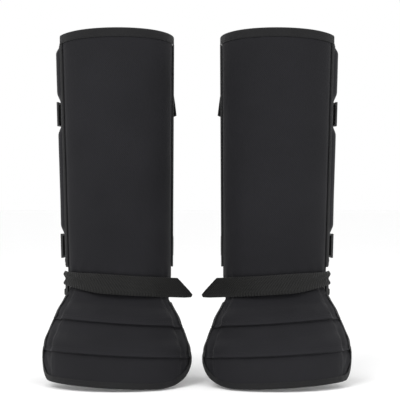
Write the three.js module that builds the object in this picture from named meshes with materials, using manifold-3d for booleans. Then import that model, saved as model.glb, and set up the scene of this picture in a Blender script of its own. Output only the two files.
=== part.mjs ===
// A pair of protective leg gaiters: a stiffened shin panel, two side wings that close round the calf
// with webbing and side-release buckles, and a shingled shield over the boot with its instep strap.
//
// Frame: millimetres, +Z up. The gaiters stand on z = 0 and face -Y; the wearer's right one is at -X.
// Each gaiter is modelled in its own frame first: origin under the leg's axis, outer side at -X.

import * as THREE from 'three';
import { mergeVertices } from 'three/addons/utils/BufferGeometryUtils.js';
import Module from 'manifold-3d';

const wasm = await Module();
wasm.setup();

const { degToRad: radians, radToDeg, lerp, clamp } = THREE.MathUtils;

// ---------------------------------------------------------------------------------------------
// Driving dimensions
// ---------------------------------------------------------------------------------------------

const LEG_SPACING = 204; // between the axes of the two legs
const CLEARANCE = 0.3; // between layers that touch on the real thing

// The leg opening is an oval, narrower at the ankle, measured on the lining's inner face.
const CALF_HALF_WIDTH = 70.1;
const ANKLE_HALF_WIDTH = 64.3;
const FRONT_DEPTH = 50;
const BACK_DEPTH = 54;
const CALF_SHIFT = -2.8; // how far the oval leans to the outer side at the calf
const ANKLE_SHIFT = 1.3;
const CALF_LEVEL = 445;
const ANKLE_LEVEL = 115;

// Shin panel
const FABRIC = 1.0;
const SHIN_INSERT = 1.8;
const SHIN_OUTER_EDGE = -70; // degrees round the leg from the middle of the front
const SHIN_INNER_EDGE = 85;
const SHIN_TOP = 437.7; // at the panel's two upper corners
const SHIN_CROWN = 6.2; // how much higher the middle of the top edge is
const SHIN_BOTTOM_OUTER = 127;
const SHIN_BOTTOM_INNER = 120;
const SHIN_INSET = 5; // from the cover's edge to the stiffener
const BINDING = 0.9;
const BINDING_LEAF = 10;

// Side wings
const WING_INSERT = 1.2;
const WING_SEAM = 0.4; // degrees between a wing and the shin panel
const WING_BACK_EDGE = 150;
const WING_TOP = 427;
const WING_BOTTOM = 143;
const WING_INSET = 6;

// Webbing and its hardware
const WEBBING = 1.5;
const WEBBING_WIDTH = 25;
const UPPER_STRAP = 338.6; // height of the strap's middle at the outer side
const UPPER_STRAP_RISE = 10.5; // how much higher it is at the inner side
const UPPER_STRAP_FLARE = 3.4; // how far its lower corner stands off at the inner side
const LOWER_STRAP = 169;
const STRAP_LIFT_OFF = 138; // degrees, where the strap leaves the wing for the back of the calf
const STRAP_LIFT = 1.3; // how far it stands off the wing's back edge
const STRAP_EASE = 12; // degrees over which it lifts
const STRAP_BEHIND_FEMALE = 12; // how far the outer strap runs behind the buckle's socket
const STRAP_BEHIND_MALE = 9.4; // and the inner strap behind its plug
const OUTER_STRAP_START = -89;
const INNER_STRAP_START = 88;
const ADJUSTER_LENGTH = 24; // degrees round the leg
const ADJUSTER_PAST = 3; // degrees, past the strap's front end
const ADJUSTER_SIDE = 3;
const ADJUSTER = 3;

// Side-release buckle
const BUCKLE_SIDE = 4; // beside the webbing, above and below
const BUCKLE_THICKNESS = 7.5;
const BUCKLE_WALL = 1.25;
const BUCKLE_CORNER = 3;
const FEMALE_LENGTH = 35;
const MALE_LENGTH = 15.6;
const PLUG_GAP = 0.4; // between the plug's shoulder and the socket's mouth
const PLUG_STEP = 0.5; // how much shorter than the socket the plug is, above and below
const CAVITY_DEPTH = 28;
const CAVITY_PLAY = 0.5; // beside the prongs, above and below
const WINDOW_FROM = 0.4; // the socket's side windows, as shares of the cavity's depth
const WINDOW_TO = 0.85;
const WINDOW_LIP = 0.5; // between a window and the cavity's wall
const BUCKLE_MOUTH = 4; // across the leg from the oval's middle
const PRONG_LENGTH = 26;
const PRONG_WIDTH = 3.3;
const PRONG_THICKNESS = 3.4;
const PRONG_HOOK = 6; // length of the hooked tip
const PRONG_RELIEF = 0.6; // how far a prong's arm lies inside its hook
const GUIDE_RIB = 3; // width of the rib between the prongs
const SLOT = 3;
const BAR = 3;

// Boot shield: three pads, each overlapping the next one like shingles
const PAD_FABRIC = 0.8;
const PAD_INSERT = 1.0;
const PAD_PLAY = 0.4; // between a pad's cloth and its insert
const SHIELD_SHIFT = 3; // the shield leans to the inner side
const PAD_OVERLAP = 8;
const PAD_GAP = 0.9; // between overlapping pads
const PAD_INSET = 4;
const TOE_LOW = 4.55; // height of the middle of the toe pad's lower edge, whose inner end slopes down
const TOE_CORNER = 27; // height of the toe pad's rounded corners
const TOE_CORNER_START = 0.62; // where they begin, as a share of the half width
const TUCK = 0.9; // between the shin lining and the shield's tucked top
const EDGE_BINDING = 0.6;
const EDGE_BINDING_LEAF = 5;
const EDGE_BINDING_GAP = 0.5;
const EDGE_BINDING_PAST = 0.9; // below the pad's edge, because the corners turn steeply

// Instep strap, its ladder lock and the loose tail that crosses the ankle
const STIRRUP_FRONT = -16;
const STIRRUP_GAP = 0.9; // outside the shield's tucked top
const STIRRUP_SLANT = 12; // how much further back it passes under the boot
const STIRRUP_TOP_OUTER = 124;
const STIRRUP_TOP_INNER = 111;
const SOLE_HALF_WIDTH = 50;
const SOLE_BEND = 12;
const LOCK_HEIGHT = 26;
const LOCK_SIDE = 3;
const LOCK_THICKNESS = 3;
const LOCK_CORNER = 2;
const TAIL_OUTER_LOW = 115;
const TAIL_DROP = 12; // how much lower the tail is at the inner side
const TAIL_STAND_OFF = 3.2; // from the shin cover
const TAIL_MEETS = -62; // degrees, where it comes onto the shin panel
const TAIL_LEAVES = 48; // degrees, where it leaves the shin panel
const TAIL_FREE = 54; // length of its free end
const TAIL_POINT = 13; // length of the pointed tip
const TAIL_TIP = 4; // its width at the end
const TAIL_ROOT_GAP = 0.85; // in front of the ladder lock
const TAIL_OVERLAP = 0.5; // of the tail's thickness with the ladder lock's

// Sizes that follow from those above
const SHIN_THICKNESS = 2 * FABRIC + SHIN_INSERT + 2 * CLEARANCE;
const WING_THICKNESS = 2 * FABRIC + WING_INSERT + 2 * CLEARANCE;
const PAD_THICKNESS = 2 * PAD_FABRIC + PAD_INSERT + 2 * PAD_PLAY;
const PAD_RISE = PAD_THICKNESS + PAD_GAP;
const SHIN_ARC_STEP = 8; // degrees between the facets round the leg
const STRAP_PLANE = BACK_DEPTH + WING_THICKNESS + CLEARANCE + 0.4;
const BUCKLE_FACE = STRAP_PLANE + WEBBING + CLEARANCE;
const BUCKLE_HEIGHT = WEBBING_WIDTH + 2 * BUCKLE_SIDE;
const STRAP_OFFSET = WING_THICKNESS + CLEARANCE;

// The boot shield's cross-sections, from the toe up: the height of its middle line, its half width
// at the side edges, how far forward its middle is, how deep its curve is, how much lower its inner
// side is for each millimetre across, and its sideways shift. The top follows the leg's oval, inside it.
const SHIELD_TOP = 131;
const SHIELD_WRAP = 76; // degrees that half the shield's curve turns through
const WRAP_WIDTH = Math.sin(radians(SHIELD_WRAP));
const WRAP_DEPTH = 1 - Math.cos(radians(SHIELD_WRAP));
const TUCKED_HALF = (ANKLE_HALF_WIDTH - TUCK - PAD_THICKNESS) * WRAP_WIDTH;
const TUCKED_FRONT = TUCK + PAD_THICKNESS - FRONT_DEPTH;
const TUCKED_DEPTH = -TUCKED_FRONT * WRAP_DEPTH;
const TUCKED_DROP = 0.05;
const TUCKED = { half: TUCKED_HALF, front: TUCKED_FRONT, depth: TUCKED_DEPTH, shift: ANKLE_SHIFT };
const SHIELD_ROWS = [
  { height: 0, half: 86, front: -145, depth: 62, drop: 0.04, shift: SHIELD_SHIFT },
  { height: 16, half: 87.5, front: -135, depth: 60, drop: 0.045, shift: SHIELD_SHIFT },
  { height: 34, half: 88.5, front: -125, depth: 58, drop: 0.052, shift: SHIELD_SHIFT },
  { height: 49, half: 84, front: -113, depth: 54, drop: 0.06, shift: SHIELD_SHIFT },
  { height: 65, half: 79.5, front: -96, depth: 50, drop: 0.07, shift: SHIELD_SHIFT },
  { height: 84, half: 70.5, front: -77, depth: 43, drop: 0.075, shift: SHIELD_SHIFT },
  { height: 99, half: 65, front: -53, depth: 29, drop: 0.075, shift: ANKLE_SHIFT + 1 },
  { ...TUCKED, height: 108, half: TUCKED_HALF + 2.6, front: TUCKED_FRONT - 2, depth: 28.5, drop: 0.06 },
  { ...TUCKED, height: 117, drop: TUCKED_DROP },
  { ...TUCKED, height: SHIELD_TOP, drop: TUCKED_DROP },
];
const PLEAT_HEIGHTS = [76, 41]; // lower edges of the upper and middle pads
const LIP_RUN = 16; // height over which a pad's lower lip rises off the shield
const SHIELD_FACETS = 14;
const INSERT_REACH = Math.cos((3 * Math.PI) / SHIELD_FACETS); // share of the shield that is stiff
const BINDING_REACH = Math.cos(Math.PI / SHIELD_FACETS); // share of the toe pad's edge that is bound
const PAD_BOW = 0.03; // how strongly a pad's section is bowed while its caps are split

// ---------------------------------------------------------------------------------------------
// Surfaces
// ---------------------------------------------------------------------------------------------

/** The leg oval's half width and sideways shift at a height. */
function legOval(z) {
  const t = (z - ANKLE_LEVEL) / (CALF_LEVEL - ANKLE_LEVEL);
  return {
    half: lerp(ANKLE_HALF_WIDTH, CALF_HALF_WIDTH, t),
    shift: lerp(ANKLE_SHIFT, CALF_SHIFT, t),
  };
}

/** A point that many degrees round the leg, at a height, that far outside the lining's inner face. */
function legPoint(degrees, z, out) {
  const { half, shift } = legOval(z);
  const turn = radians(degrees);
  const depth = Math.cos(turn) > 0 ? FRONT_DEPTH : BACK_DEPTH;
  const normal = new THREE.Vector2(Math.sin(turn) / half, -Math.cos(turn) / depth).normalize();
  return new THREE.Vector3(
    shift + half * Math.sin(turn) + out * normal.x,
    -depth * Math.cos(turn) + out * normal.y,
    z,
  );
}

/** The shield's cross-section at a height of its middle line, between the rows given above. */
function shieldRow(height) {
  const below = SHIELD_ROWS.filter((row) => row.height < height).length;
  const above = clamp(below, 1, SHIELD_ROWS.length - 1);
  const low = SHIELD_ROWS[above - 1];
  const top = SHIELD_ROWS[above];
  const t = (height - low.height) / (top.height - low.height);
  const row = {};
  for (const key of Object.keys(low)) {
    row[key] = lerp(low[key], top[key], t);
  }
  return row;
}

/** A point on the shield's inner surface: across runs from -1 at the outer side to 1 at the inner. */
function shieldSurface(across, height) {
  const row = shieldRow(height);
  const turn = across * radians(SHIELD_WRAP);
  const x = (row.half * Math.sin(turn)) / WRAP_WIDTH;
  const y = row.front + (row.depth * (1 - Math.cos(turn))) / WRAP_DEPTH;
  return new THREE.Vector3(row.shift + x, y, height - row.drop * x);
}

/** The shield's outward direction there. */
function shieldNormal(across, height) {
  const step = 0.01;
  const side = shieldSurface(across + step, height).sub(shieldSurface(across - step, height));
  const up = shieldSurface(across, height + 1).sub(shieldSurface(across, height - 1));
  return side.cross(up).normalize();
}

/** A point that far outside the shield's inner surface. */
function shieldPoint(across, height, out) {
  return shieldSurface(across, height).addScaledVector(shieldNormal(across, height), out);
}

// ---------------------------------------------------------------------------------------------
// Solids
// ---------------------------------------------------------------------------------------------

/** Merges a geometry's shared vertices, and moves each one to the place that a function gives. */
function warped(geometry, place) {
  geometry.deleteAttribute('normal');
  geometry.deleteAttribute('uv');
  const merged = mergeVertices(geometry, 1e-5);
  const positions = merged.getAttribute('position');
  for (let i = 0; i < positions.count; i += 1) {
    const p = place(positions.getX(i), positions.getY(i), positions.getZ(i));
    positions.setXYZ(i, p.x, p.y, p.z);
  }
  return merged;
}

/** Splits an extrusion's side faces the same way on both faces of a layer, so that they stay parallel. */
function evenDiagonals(solid) {
  const positions = solid.getAttribute('position');
  const sides = solid.groups[1];
  const corner = new THREE.Vector3();
  const copy = (from, to) => {
    corner.fromBufferAttribute(positions, from);
    positions.setXYZ(to, ...corner);
  };
  for (let a = sides.start; a < sides.start + sides.count; a += 6) {
    if (positions.getX(a + 1) < positions.getX(a)) {
      copy(a + 4, a + 2);
      copy(a, a + 3);
    }
  }
  return solid;
}

/**
 * Sweeps a section through stations; place(x, y, station) says where a point of the section goes.
 * A section with points along its height is bowed while its end caps are split into facets, so that
 * they split into short ones and still fit once the section follows a curve.
 */
function swept(section, stations, place, bend = 0) {
  const bow = (x) => bend * (x - section[0][0]) ** 2;
  const shape = new THREE.Shape(section.map(([x, y]) => new THREE.Vector2(x, y + bow(x))));
  const steps = stations.length - 1;
  const solid = new THREE.ExtrudeGeometry(shape, { steps, depth: 1, bevelEnabled: false });
  return warped(evenDiagonals(solid), (x, y, z) => place(x, y - bow(x), stations[Math.round(z * steps)]));
}

/** Angles from one edge to the other, on a grid that every layer round the leg shares. */
function arcStations(from, to) {
  const angles = [from];
  for (let a = Math.ceil((from + 1) / SHIN_ARC_STEP) * SHIN_ARC_STEP; a < to - 1; a += SHIN_ARC_STEP) {
    angles.push(a);
  }
  angles.push(to);
  return angles;
}

/** Places across the shield that every layer shares, closer together where it curves most. */
function acrossStations(limit = 1) {
  const half = [limit];
  for (let i = 1; i < SHIELD_FACETS / 2; i += 1) {
    const across = Math.cos((Math.PI * i) / SHIELD_FACETS);
    if (across < limit - 0.015) {
      half.push(across);
    }
  }
  return [...half.map((across) => -across), 0, ...half.reverse()];
}

/** Section of a flat layer between two offsets, with a point at each height. */
function layerSection(heights, inner, outer) {
  const inside = heights.map((h) => [h, inner]);
  const outside = heights.map((h) => [h, outer]).reverse();
  return [...inside, ...outside];
}

/** Section of a pocket folded from one piece of cloth: closed at the bottom and open at the top. */
function pocketSection(heights, thickness, cloth) {
  const [fold, ...rest] = heights;
  const up = [fold + cloth, ...rest];
  return [
    ...heights.map((h) => [h, 0]),
    ...[...up].reverse().map((h) => [h, cloth]),
    ...up.map((h) => [h, thickness - cloth]),
    ...[...heights].reverse().map((h) => [h, thickness]),
  ];
}

/** Section of an edge binding: two leaves that lie on both faces, joined past the edge at 0. */
function bindingSection(thickness, cloth, leaf, gap, past) {
  const inner = -gap;
  const outer = thickness + gap;
  return [
    [inner - cloth, -leaf],
    [inner, -leaf],
    [inner, past],
    [outer, past],
    [outer, -leaf],
    [outer + cloth, -leaf],
    [outer + cloth, past + cloth],
    [inner - cloth, past + cloth],
  ];
}

/** A point of a line in plan, moved sideways to the line's right, with its corners mitred. */
function beside(line, i, offset) {
  const here = line[i];
  const before = line[Math.max(i - 1, 0)];
  const after = line[Math.min(i + 1, line.length - 1)];
  const arriving = (i > 0 ? here.clone().sub(before) : after.clone().sub(here)).normalize();
  const leaving = (after !== here ? after.clone().sub(here) : arriving.clone()).normalize();
  const along = arriving.clone().add(leaving).normalize();
  const mitre = offset / along.dot(arriving);
  return new THREE.Vector2(here.x + along.y * mitre, here.y - along.x * mitre);
}

/** A webbing strap on edge: lineAt(z) gives its inner face in plan, rise(i) lifts each station. */
function webbingStrap(low, high, lineAt, rise = () => 0) {
  const stations = lineAt(low).map((_, i) => i);
  const section = layerSection([low, high], 0, WEBBING);
  return swept(section, stations, (z, out, i) => {
    const level = z + rise(i);
    const p = beside(lineAt(level), i, out);
    return new THREE.Vector3(p.x, p.y, level);
  });
}

/** A geometry as a solid that can be cut. */
function toSolid(geometry) {
  const merged = warped(geometry, (x, y, z) => new THREE.Vector3(x, y, z));
  const vertProperties = new Float32Array(merged.getAttribute('position').array);
  const triVerts = new Uint32Array(merged.getIndex().array);
  return new wasm.Manifold(new wasm.Mesh({ numProp: 3, vertProperties, triVerts }));
}

/** A body with tools cut out of it. */
function cut(body, tools) {
  let solid = toSolid(body);
  for (const tool of tools) {
    solid = solid.subtract(toSolid(tool));
  }
  const { vertProperties, triVerts } = solid.getMesh();
  const geometry = new THREE.BufferGeometry();
  geometry.setAttribute('position', new THREE.Float32BufferAttribute(vertProperties, 3));
  geometry.setIndex([...triVerts]);
  return geometry;
}

/** A box between two corners. */
function block(x0, x1, y0, y1, z0, z1) {
  const box = new THREE.BoxGeometry(x1 - x0, y1 - y0, z1 - z0);
  return box.translate((x0 + x1) / 2, (y0 + y1) / 2, (z0 + z1) / 2);
}

/** A plate in the XZ plane with rounded corners, from y = 0 to its thickness. */
function roundedPlate(x0, x1, z0, z1, radius, thickness) {
  const shape = new THREE.Shape();
  const corners = [
    [x1 - radius, z0 + radius, -90],
    [x1 - radius, z1 - radius, 0],
    [x0 + radius, z1 - radius, 90],
    [x0 + radius, z0 + radius, 180],
  ];
  for (const [x, z, start] of corners) {
    for (const turn of [start, start + 45, start + 90]) {
      const px = x + radius * Math.cos(radians(turn));
      const pz = z + radius * Math.sin(radians(turn));
      if (shape.curves.length === 0 && shape.currentPoint.lengthSq() === 0) {
        shape.moveTo(px, pz);
      } else {
        shape.lineTo(px, pz);
      }
    }
  }
  const plate = new THREE.ExtrudeGeometry(shape, { depth: thickness, bevelEnabled: false });
  return plate.rotateX(Math.PI / 2).translate(0, thickness, 0);
}

// ---------------------------------------------------------------------------------------------
// Shin panel
// ---------------------------------------------------------------------------------------------

/** Height of the shin panel's top edge, which is a low arc. */
function shinTop(degrees) {
  const middle = (SHIN_OUTER_EDGE + SHIN_INNER_EDGE) / 2;
  const t = (degrees - middle) / ((SHIN_INNER_EDGE - SHIN_OUTER_EDGE) / 2);
  return SHIN_TOP + SHIN_CROWN * (1 - t * t);
}

/** Height of its bottom edge, which slopes down to the inner side. */
function shinBottom(degrees) {
  const t = (degrees - SHIN_OUTER_EDGE) / (SHIN_INNER_EDGE - SHIN_OUTER_EDGE);
  return lerp(SHIN_BOTTOM_OUTER, SHIN_BOTTOM_INNER, t);
}

/** One layer of the shin panel, drawn in from the panel's edges by that much. */
function shinLayer(inner, outer, inset) {
  const turn = radToDeg(inset / FRONT_DEPTH);
  const stations = arcStations(SHIN_OUTER_EDGE + turn, SHIN_INNER_EDGE - turn);
  return swept(layerSection([0, 1], inner, outer), stations, (share, out, degrees) => {
    const z = lerp(shinBottom(degrees) + inset, shinTop(degrees) - inset, share);
    return legPoint(degrees, z, out);
  });
}

/** The binding folded over the shin panel's top edge. */
function topBinding() {
  const section = bindingSection(SHIN_THICKNESS, BINDING, BINDING_LEAF, CLEARANCE, CLEARANCE);
  const upright = section.map(([out, past]) => [past, out]);
  const stations = arcStations(SHIN_OUTER_EDGE, SHIN_INNER_EDGE);
  return swept(upright, stations, (past, out, degrees) => legPoint(degrees, shinTop(degrees) + past, out));
}

// ---------------------------------------------------------------------------------------------
// Side wings and their closures
// ---------------------------------------------------------------------------------------------

/** The angles that a wing covers: side is -1 for the outer wing and 1 for the inner one. */
function wingStations(side, inset = 0) {
  const turn = radToDeg(inset / FRONT_DEPTH);
  if (side < 0) {
    return arcStations(-WING_BACK_EDGE + turn, SHIN_OUTER_EDGE - WING_SEAM - turn);
  }
  return arcStations(SHIN_INNER_EDGE + WING_SEAM + turn, WING_BACK_EDGE - turn);
}

/** A wing's cloth, folded into a pocket that is open at the top. */
function wingPocket(side) {
  const section = pocketSection([WING_BOTTOM, WING_TOP], WING_THICKNESS, FABRIC);
  return swept(section, wingStations(side), (z, out, degrees) => legPoint(degrees, z, out));
}

/** The stiff sheet inside a wing, standing on the pocket's fold. */
function wingInsert(side) {
  const inner = FABRIC + CLEARANCE;
  const low = WING_BOTTOM + inner;
  const section = layerSection([low, WING_TOP - WING_INSET], inner, inner + WING_INSERT);
  return swept(section, wingStations(side, WING_INSET), (z, out, degrees) => legPoint(degrees, z, out));
}

/** Where a strap that leaves the wing in a straight line meets the plane behind the calf. */
function liftOffLine(side, z) {
  const out = STRAP_OFFSET + STRAP_LIFT;
  const leaves = legPoint(side * STRAP_LIFT_OFF, z, out);
  const onward = legPoint(side * (STRAP_LIFT_OFF + 0.5), z, out).sub(leaves);
  const x = leaves.x + (onward.x / onward.y) * (STRAP_PLANE - leaves.y);
  return new THREE.Vector2(x, STRAP_PLANE);
}

/** A strap's inner face in plan, from behind the calf to the front end of its run on the wing. */
function closureLine(side, z, start, end, flare) {
  const line = [new THREE.Vector2(end, STRAP_PLANE), liftOffLine(side, z)];
  const eased = STRAP_LIFT_OFF - STRAP_EASE;
  const front = Math.abs(start);
  const between = arcStations(front, eased).reverse();
  for (const degrees of [STRAP_LIFT_OFF, ...between]) {
    const lift = clamp((degrees - eased) / STRAP_EASE, 0, 1) * STRAP_LIFT;
    const p = legPoint(side * degrees, z, STRAP_OFFSET + lift + (degrees === front ? flare : 0));
    line.push(new THREE.Vector2(p.x, p.y));
  }
  return side < 0 ? line : line.reverse();
}

/** The outer wing's strap, sewn on at the adjuster and ending behind the buckle's socket. */
function outerStrap(middle) {
  const end = BUCKLE_MOUTH - FEMALE_LENGTH + STRAP_BEHIND_FEMALE;
  const lineAt = (z) => closureLine(-1, z, OUTER_STRAP_START, end, 0);
  return webbingStrap(middle - WEBBING_WIDTH / 2, middle + WEBBING_WIDTH / 2, lineAt);
}

/** The inner wing's strap, from behind the buckle's plug round to the seam. */
function innerStrap(middle, climb, flare) {
  const end = BUCKLE_MOUTH + MALE_LENGTH - STRAP_BEHIND_MALE + PLUG_GAP;
  const low = middle - WEBBING_WIDTH / 2;
  const high = middle + WEBBING_WIDTH / 2;
  const lineAt = (z) => {
    const share = clamp((middle + climb - z) / (WEBBING_WIDTH / 2), 0, 1);
    return closureLine(1, z, INNER_STRAP_START, end, flare * share);
  };
  const last = lineAt(middle).length - 1;
  return webbingStrap(low, high, lineAt, (i) => climb * Math.max(0, 1 - i / (last - 1)));
}

/** The ladder adjuster over the strap's sewn end: a frame with two slots for the webbing. */
function adjuster(middle) {
  const half = WEBBING_WIDTH / 2 + ADJUSTER_SIDE;
  const inner = STRAP_OFFSET + WEBBING + CLEARANCE;
  const section = layerSection([middle - half, middle + half], inner, inner + ADJUSTER);
  const front = OUTER_STRAP_START + ADJUSTER_PAST;
  const stations = [3, 2, 1, 0].map((i) => front - (ADJUSTER_LENGTH * i) / 3);
  const frame = swept(section, stations, (z, out, degrees) => legPoint(degrees, z, out));
  const reach = CALF_HALF_WIDTH + WEBBING_WIDTH;
  const slots = [1, 2].map((i) => {
    const { y } = legPoint(front - (ADJUSTER_LENGTH * i) / 3, middle, inner);
    const z = WEBBING_WIDTH / 2 + CLEARANCE;
    return block(-reach, 0, y - SLOT / 2, y + SLOT / 2, middle - z, middle + z);
  });
  return cut(frame, slots);
}

/** The buckle's socket, with its mouth at x = 0: a cavity, a window in each side, a webbing slot. */
function buckleFemale() {
  const half = BUCKLE_HEIGHT / 2;
  const body = roundedPlate(-FEMALE_LENGTH, 0, -half, half, BUCKLE_CORNER, BUCKLE_THICKNESS);
  const cavity = half - BUCKLE_SIDE + CAVITY_PLAY;
  const wall = BUCKLE_WALL;
  const far = BUCKLE_THICKNESS - wall;
  const lip = WINDOW_LIP;
  const slot = WEBBING_WIDTH / 2 + CLEARANCE;
  const slotEnd = -CAVITY_DEPTH - (FEMALE_LENGTH - CAVITY_DEPTH - SLOT) / 2;
  const windows = [-CAVITY_DEPTH * WINDOW_TO, -CAVITY_DEPTH * WINDOW_FROM];
  return cut(body, [
    block(-CAVITY_DEPTH, 1, wall, far, -cavity, cavity),
    block(...windows, wall + lip, far - lip, -half - 1, half + 1),
    block(slotEnd - SLOT, slotEnd, -1, BUCKLE_THICKNESS + 1, -slot, slot),
  ]);
}

/** The buckle's plug behind the prongs, with two slots that the webbing is threaded through. */
function buckleMale() {
  const half = BUCKLE_HEIGHT / 2 - PLUG_STEP;
  const face = PLUG_GAP;
  const body = roundedPlate(face, face + MALE_LENGTH, -half, half, BUCKLE_CORNER, BUCKLE_THICKNESS);
  const slot = WEBBING_WIDTH / 2 + CLEARANCE;
  const first = face + BAR;
  const second = first + SLOT + BAR;
  return cut(body, [
    block(first, first + SLOT, -1, BUCKLE_THICKNESS + 1, -slot, slot),
    block(second, second + SLOT, -1, BUCKLE_THICKNESS + 1, -slot, slot),
  ]);
}

/** The plug's two springy prongs and its guide rib, joined by a bar at x = 0. */
function buckleProngs() {
  const reach = BUCKLE_HEIGHT / 2 - BUCKLE_SIDE - CLEARANCE;
  const inner = reach - PRONG_WIDTH;
  const rib = GUIDE_RIB / 2;
  const tip = -PRONG_LENGTH;
  const shoulder = tip + PRONG_HOOK;
  const arm = reach - PRONG_RELIEF;
  const side = [
    [PLUG_GAP - CLEARANCE, arm],
    [shoulder - 1, arm],
    [shoulder, reach],
    [tip + 2, reach],
    [tip, reach - 2],
    [tip, inner - PRONG_RELIEF],
    [-BAR, inner - PRONG_RELIEF],
    [-BAR, rib],
    [shoulder, rib],
  ];
  const points = [...side, ...side.map(([x, z]) => [x, -z]).reverse()];
  const shape = new THREE.Shape(points.map(([x, z]) => new THREE.Vector2(x, z)));
  const solid = new THREE.ExtrudeGeometry(shape, { depth: PRONG_THICKNESS, bevelEnabled: false });
  solid.rotateX(Math.PI / 2).translate(0, (BUCKLE_THICKNESS + PRONG_THICKNESS) / 2, 0);
  return warped(solid, (x, y, z) => new THREE.Vector3(x, y, z));
}

// ---------------------------------------------------------------------------------------------
// Boot shield
// ---------------------------------------------------------------------------------------------

const [UPPER_PLEAT, LOWER_PLEAT] = PLEAT_HEIGHTS;

/** The three pads from the top down: their heights, and how far each edge stands off the shield. */
const PADS = [
  { name: 'upper_pad', low: UPPER_PLEAT, high: SHIELD_TOP, lift: PAD_RISE, corner: 0 },
  { name: 'middle_pad', low: LOWER_PLEAT, high: UPPER_PLEAT + PAD_OVERLAP, lift: PAD_RISE, corner: 0 },
  { name: 'toe_pad', low: TOE_LOW, high: LOWER_PLEAT + PAD_OVERLAP, lift: 0, corner: TOE_CORNER },
];

/** The heights of a pad's edges and of the shield rows between them, from the bottom up. */
function padHeights(pad, inset = 0) {
  const low = pad.low + inset;
  const high = pad.high - inset;
  const between = SHIELD_ROWS.map((row) => row.height).filter((h) => h > low + 2 && h < high - 2);
  return [low, ...between, high];
}

/** How far a pad stands off the shield: fully where it overlaps the next pad, and not at its top. */
function padLift(pad, height) {
  const share = (pad.low + PAD_OVERLAP + LIP_RUN - height) / LIP_RUN;
  return pad.lift * clamp(share, 0, 1);
}

/** How much a pad's lower edge rises towards its rounded corners. */
function cornerRise(pad, across) {
  const t = (Math.abs(across) - TOE_CORNER_START) / (1 - TOE_CORNER_START);
  return t > 0 ? pad.corner * (1 - Math.sqrt(1 - Math.min(t * t, 1))) : 0;
}

/** A point of a pad: its lower edge stands off the shield, and its lower corners are rounded. */
function padPoint(pad, height, out, across) {
  const share = (pad.high - height) / (pad.high - pad.low);
  const level = height + cornerRise(pad, across) * share;
  return shieldPoint(across, level, out + padLift(pad, height));
}

/** Places a section's points on a pad. */
function placeOn(pad) {
  return (height, out, across) => padPoint(pad, height, out, across);
}

/** A pad's cloth, folded into a pocket that is open at the top. */
function padPocket(pad) {
  const section = pocketSection(padHeights(pad), PAD_THICKNESS, PAD_FABRIC);
  return swept(section, acrossStations(), placeOn(pad), PAD_BOW);
}

/** The stiff sheet inside a pad. */
function padInsert(pad) {
  const inner = PAD_FABRIC + PAD_PLAY;
  const section = layerSection(padHeights(pad, PAD_INSET), inner, inner + PAD_INSERT);
  return swept(section, acrossStations(INSERT_REACH), placeOn(pad), PAD_BOW);
}

/** The binding folded over the toe pad's lower edge, round both corners. */
function toeBinding() {
  const pad = PADS[2];
  const gap = EDGE_BINDING_GAP;
  const section = bindingSection(PAD_THICKNESS, EDGE_BINDING, EDGE_BINDING_LEAF, gap, EDGE_BINDING_PAST);
  const upright = section.map(([out, past]) => [pad.low - past, out]);
  return swept(upright, acrossStations(BINDING_REACH), placeOn(pad));
}

// ---------------------------------------------------------------------------------------------
// Instep strap
// ---------------------------------------------------------------------------------------------

/** The strap's inner face on each side of the ankle, just outside the shield's tucked top. */
const ANKLE_FACE = TUCKED_HALF + PAD_THICKNESS + STIRRUP_GAP;
const OUTER_FACE = ANKLE_SHIFT - ANKLE_FACE;
const INNER_FACE = ANKLE_SHIFT + ANKLE_FACE;

/** The strap that runs under the boot from one side of the ankle to the other. */
function stirrupStrap() {
  const bend = (side) => [
    [SHIELD_SHIFT + side * (SOLE_HALF_WIDTH - SOLE_BEND), WEBBING],
    [SHIELD_SHIFT + side * SOLE_HALF_WIDTH, WEBBING + 0.35 * SOLE_BEND],
    [SHIELD_SHIFT + side * (SOLE_HALF_WIDTH + 0.45 * SOLE_BEND), 1.6 * SOLE_BEND],
  ];
  const line = [
    [OUTER_FACE, STIRRUP_TOP_OUTER],
    [OUTER_FACE, STIRRUP_TOP_OUTER - WEBBING_WIDTH],
    ...bend(-1).reverse(),
    ...bend(1),
    [INNER_FACE, STIRRUP_TOP_INNER - WEBBING_WIDTH],
    [INNER_FACE, STIRRUP_TOP_INNER],
  ].map(([x, z]) => new THREE.Vector2(x, z));
  const section = layerSection([0, WEBBING_WIDTH], 0, WEBBING);
  const straight = STIRRUP_TOP_INNER - WEBBING_WIDTH;
  return swept(section, line.map((_, i) => i), (width, out, i) => {
    const p = beside(line, i, out);
    const back = STIRRUP_SLANT * clamp(1 - line[i].y / straight, 0, 1);
    return new THREE.Vector3(p.x, STIRRUP_FRONT + WEBBING_WIDTH - width + back, p.y);
  });
}

/** The ladder lock on the outer side of the ankle: a frame whose two slots take the strap. */
function ladderLock() {
  const width = WEBBING_WIDTH + 2 * LOCK_SIDE;
  const half = width / 2;
  const body = roundedPlate(-half, half, -LOCK_HEIGHT, 0, LOCK_CORNER, LOCK_THICKNESS);
  const slot = WEBBING_WIDTH / 2 + CLEARANCE;
  const pitch = (LOCK_HEIGHT - SLOT) / 3;
  const slots = [1, 2].map((i) => block(-slot, slot, -1, LOCK_THICKNESS + 1, -pitch * i - SLOT, -pitch * i));
  return cut(body, slots).rotateZ(Math.PI / 2);
}

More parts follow.
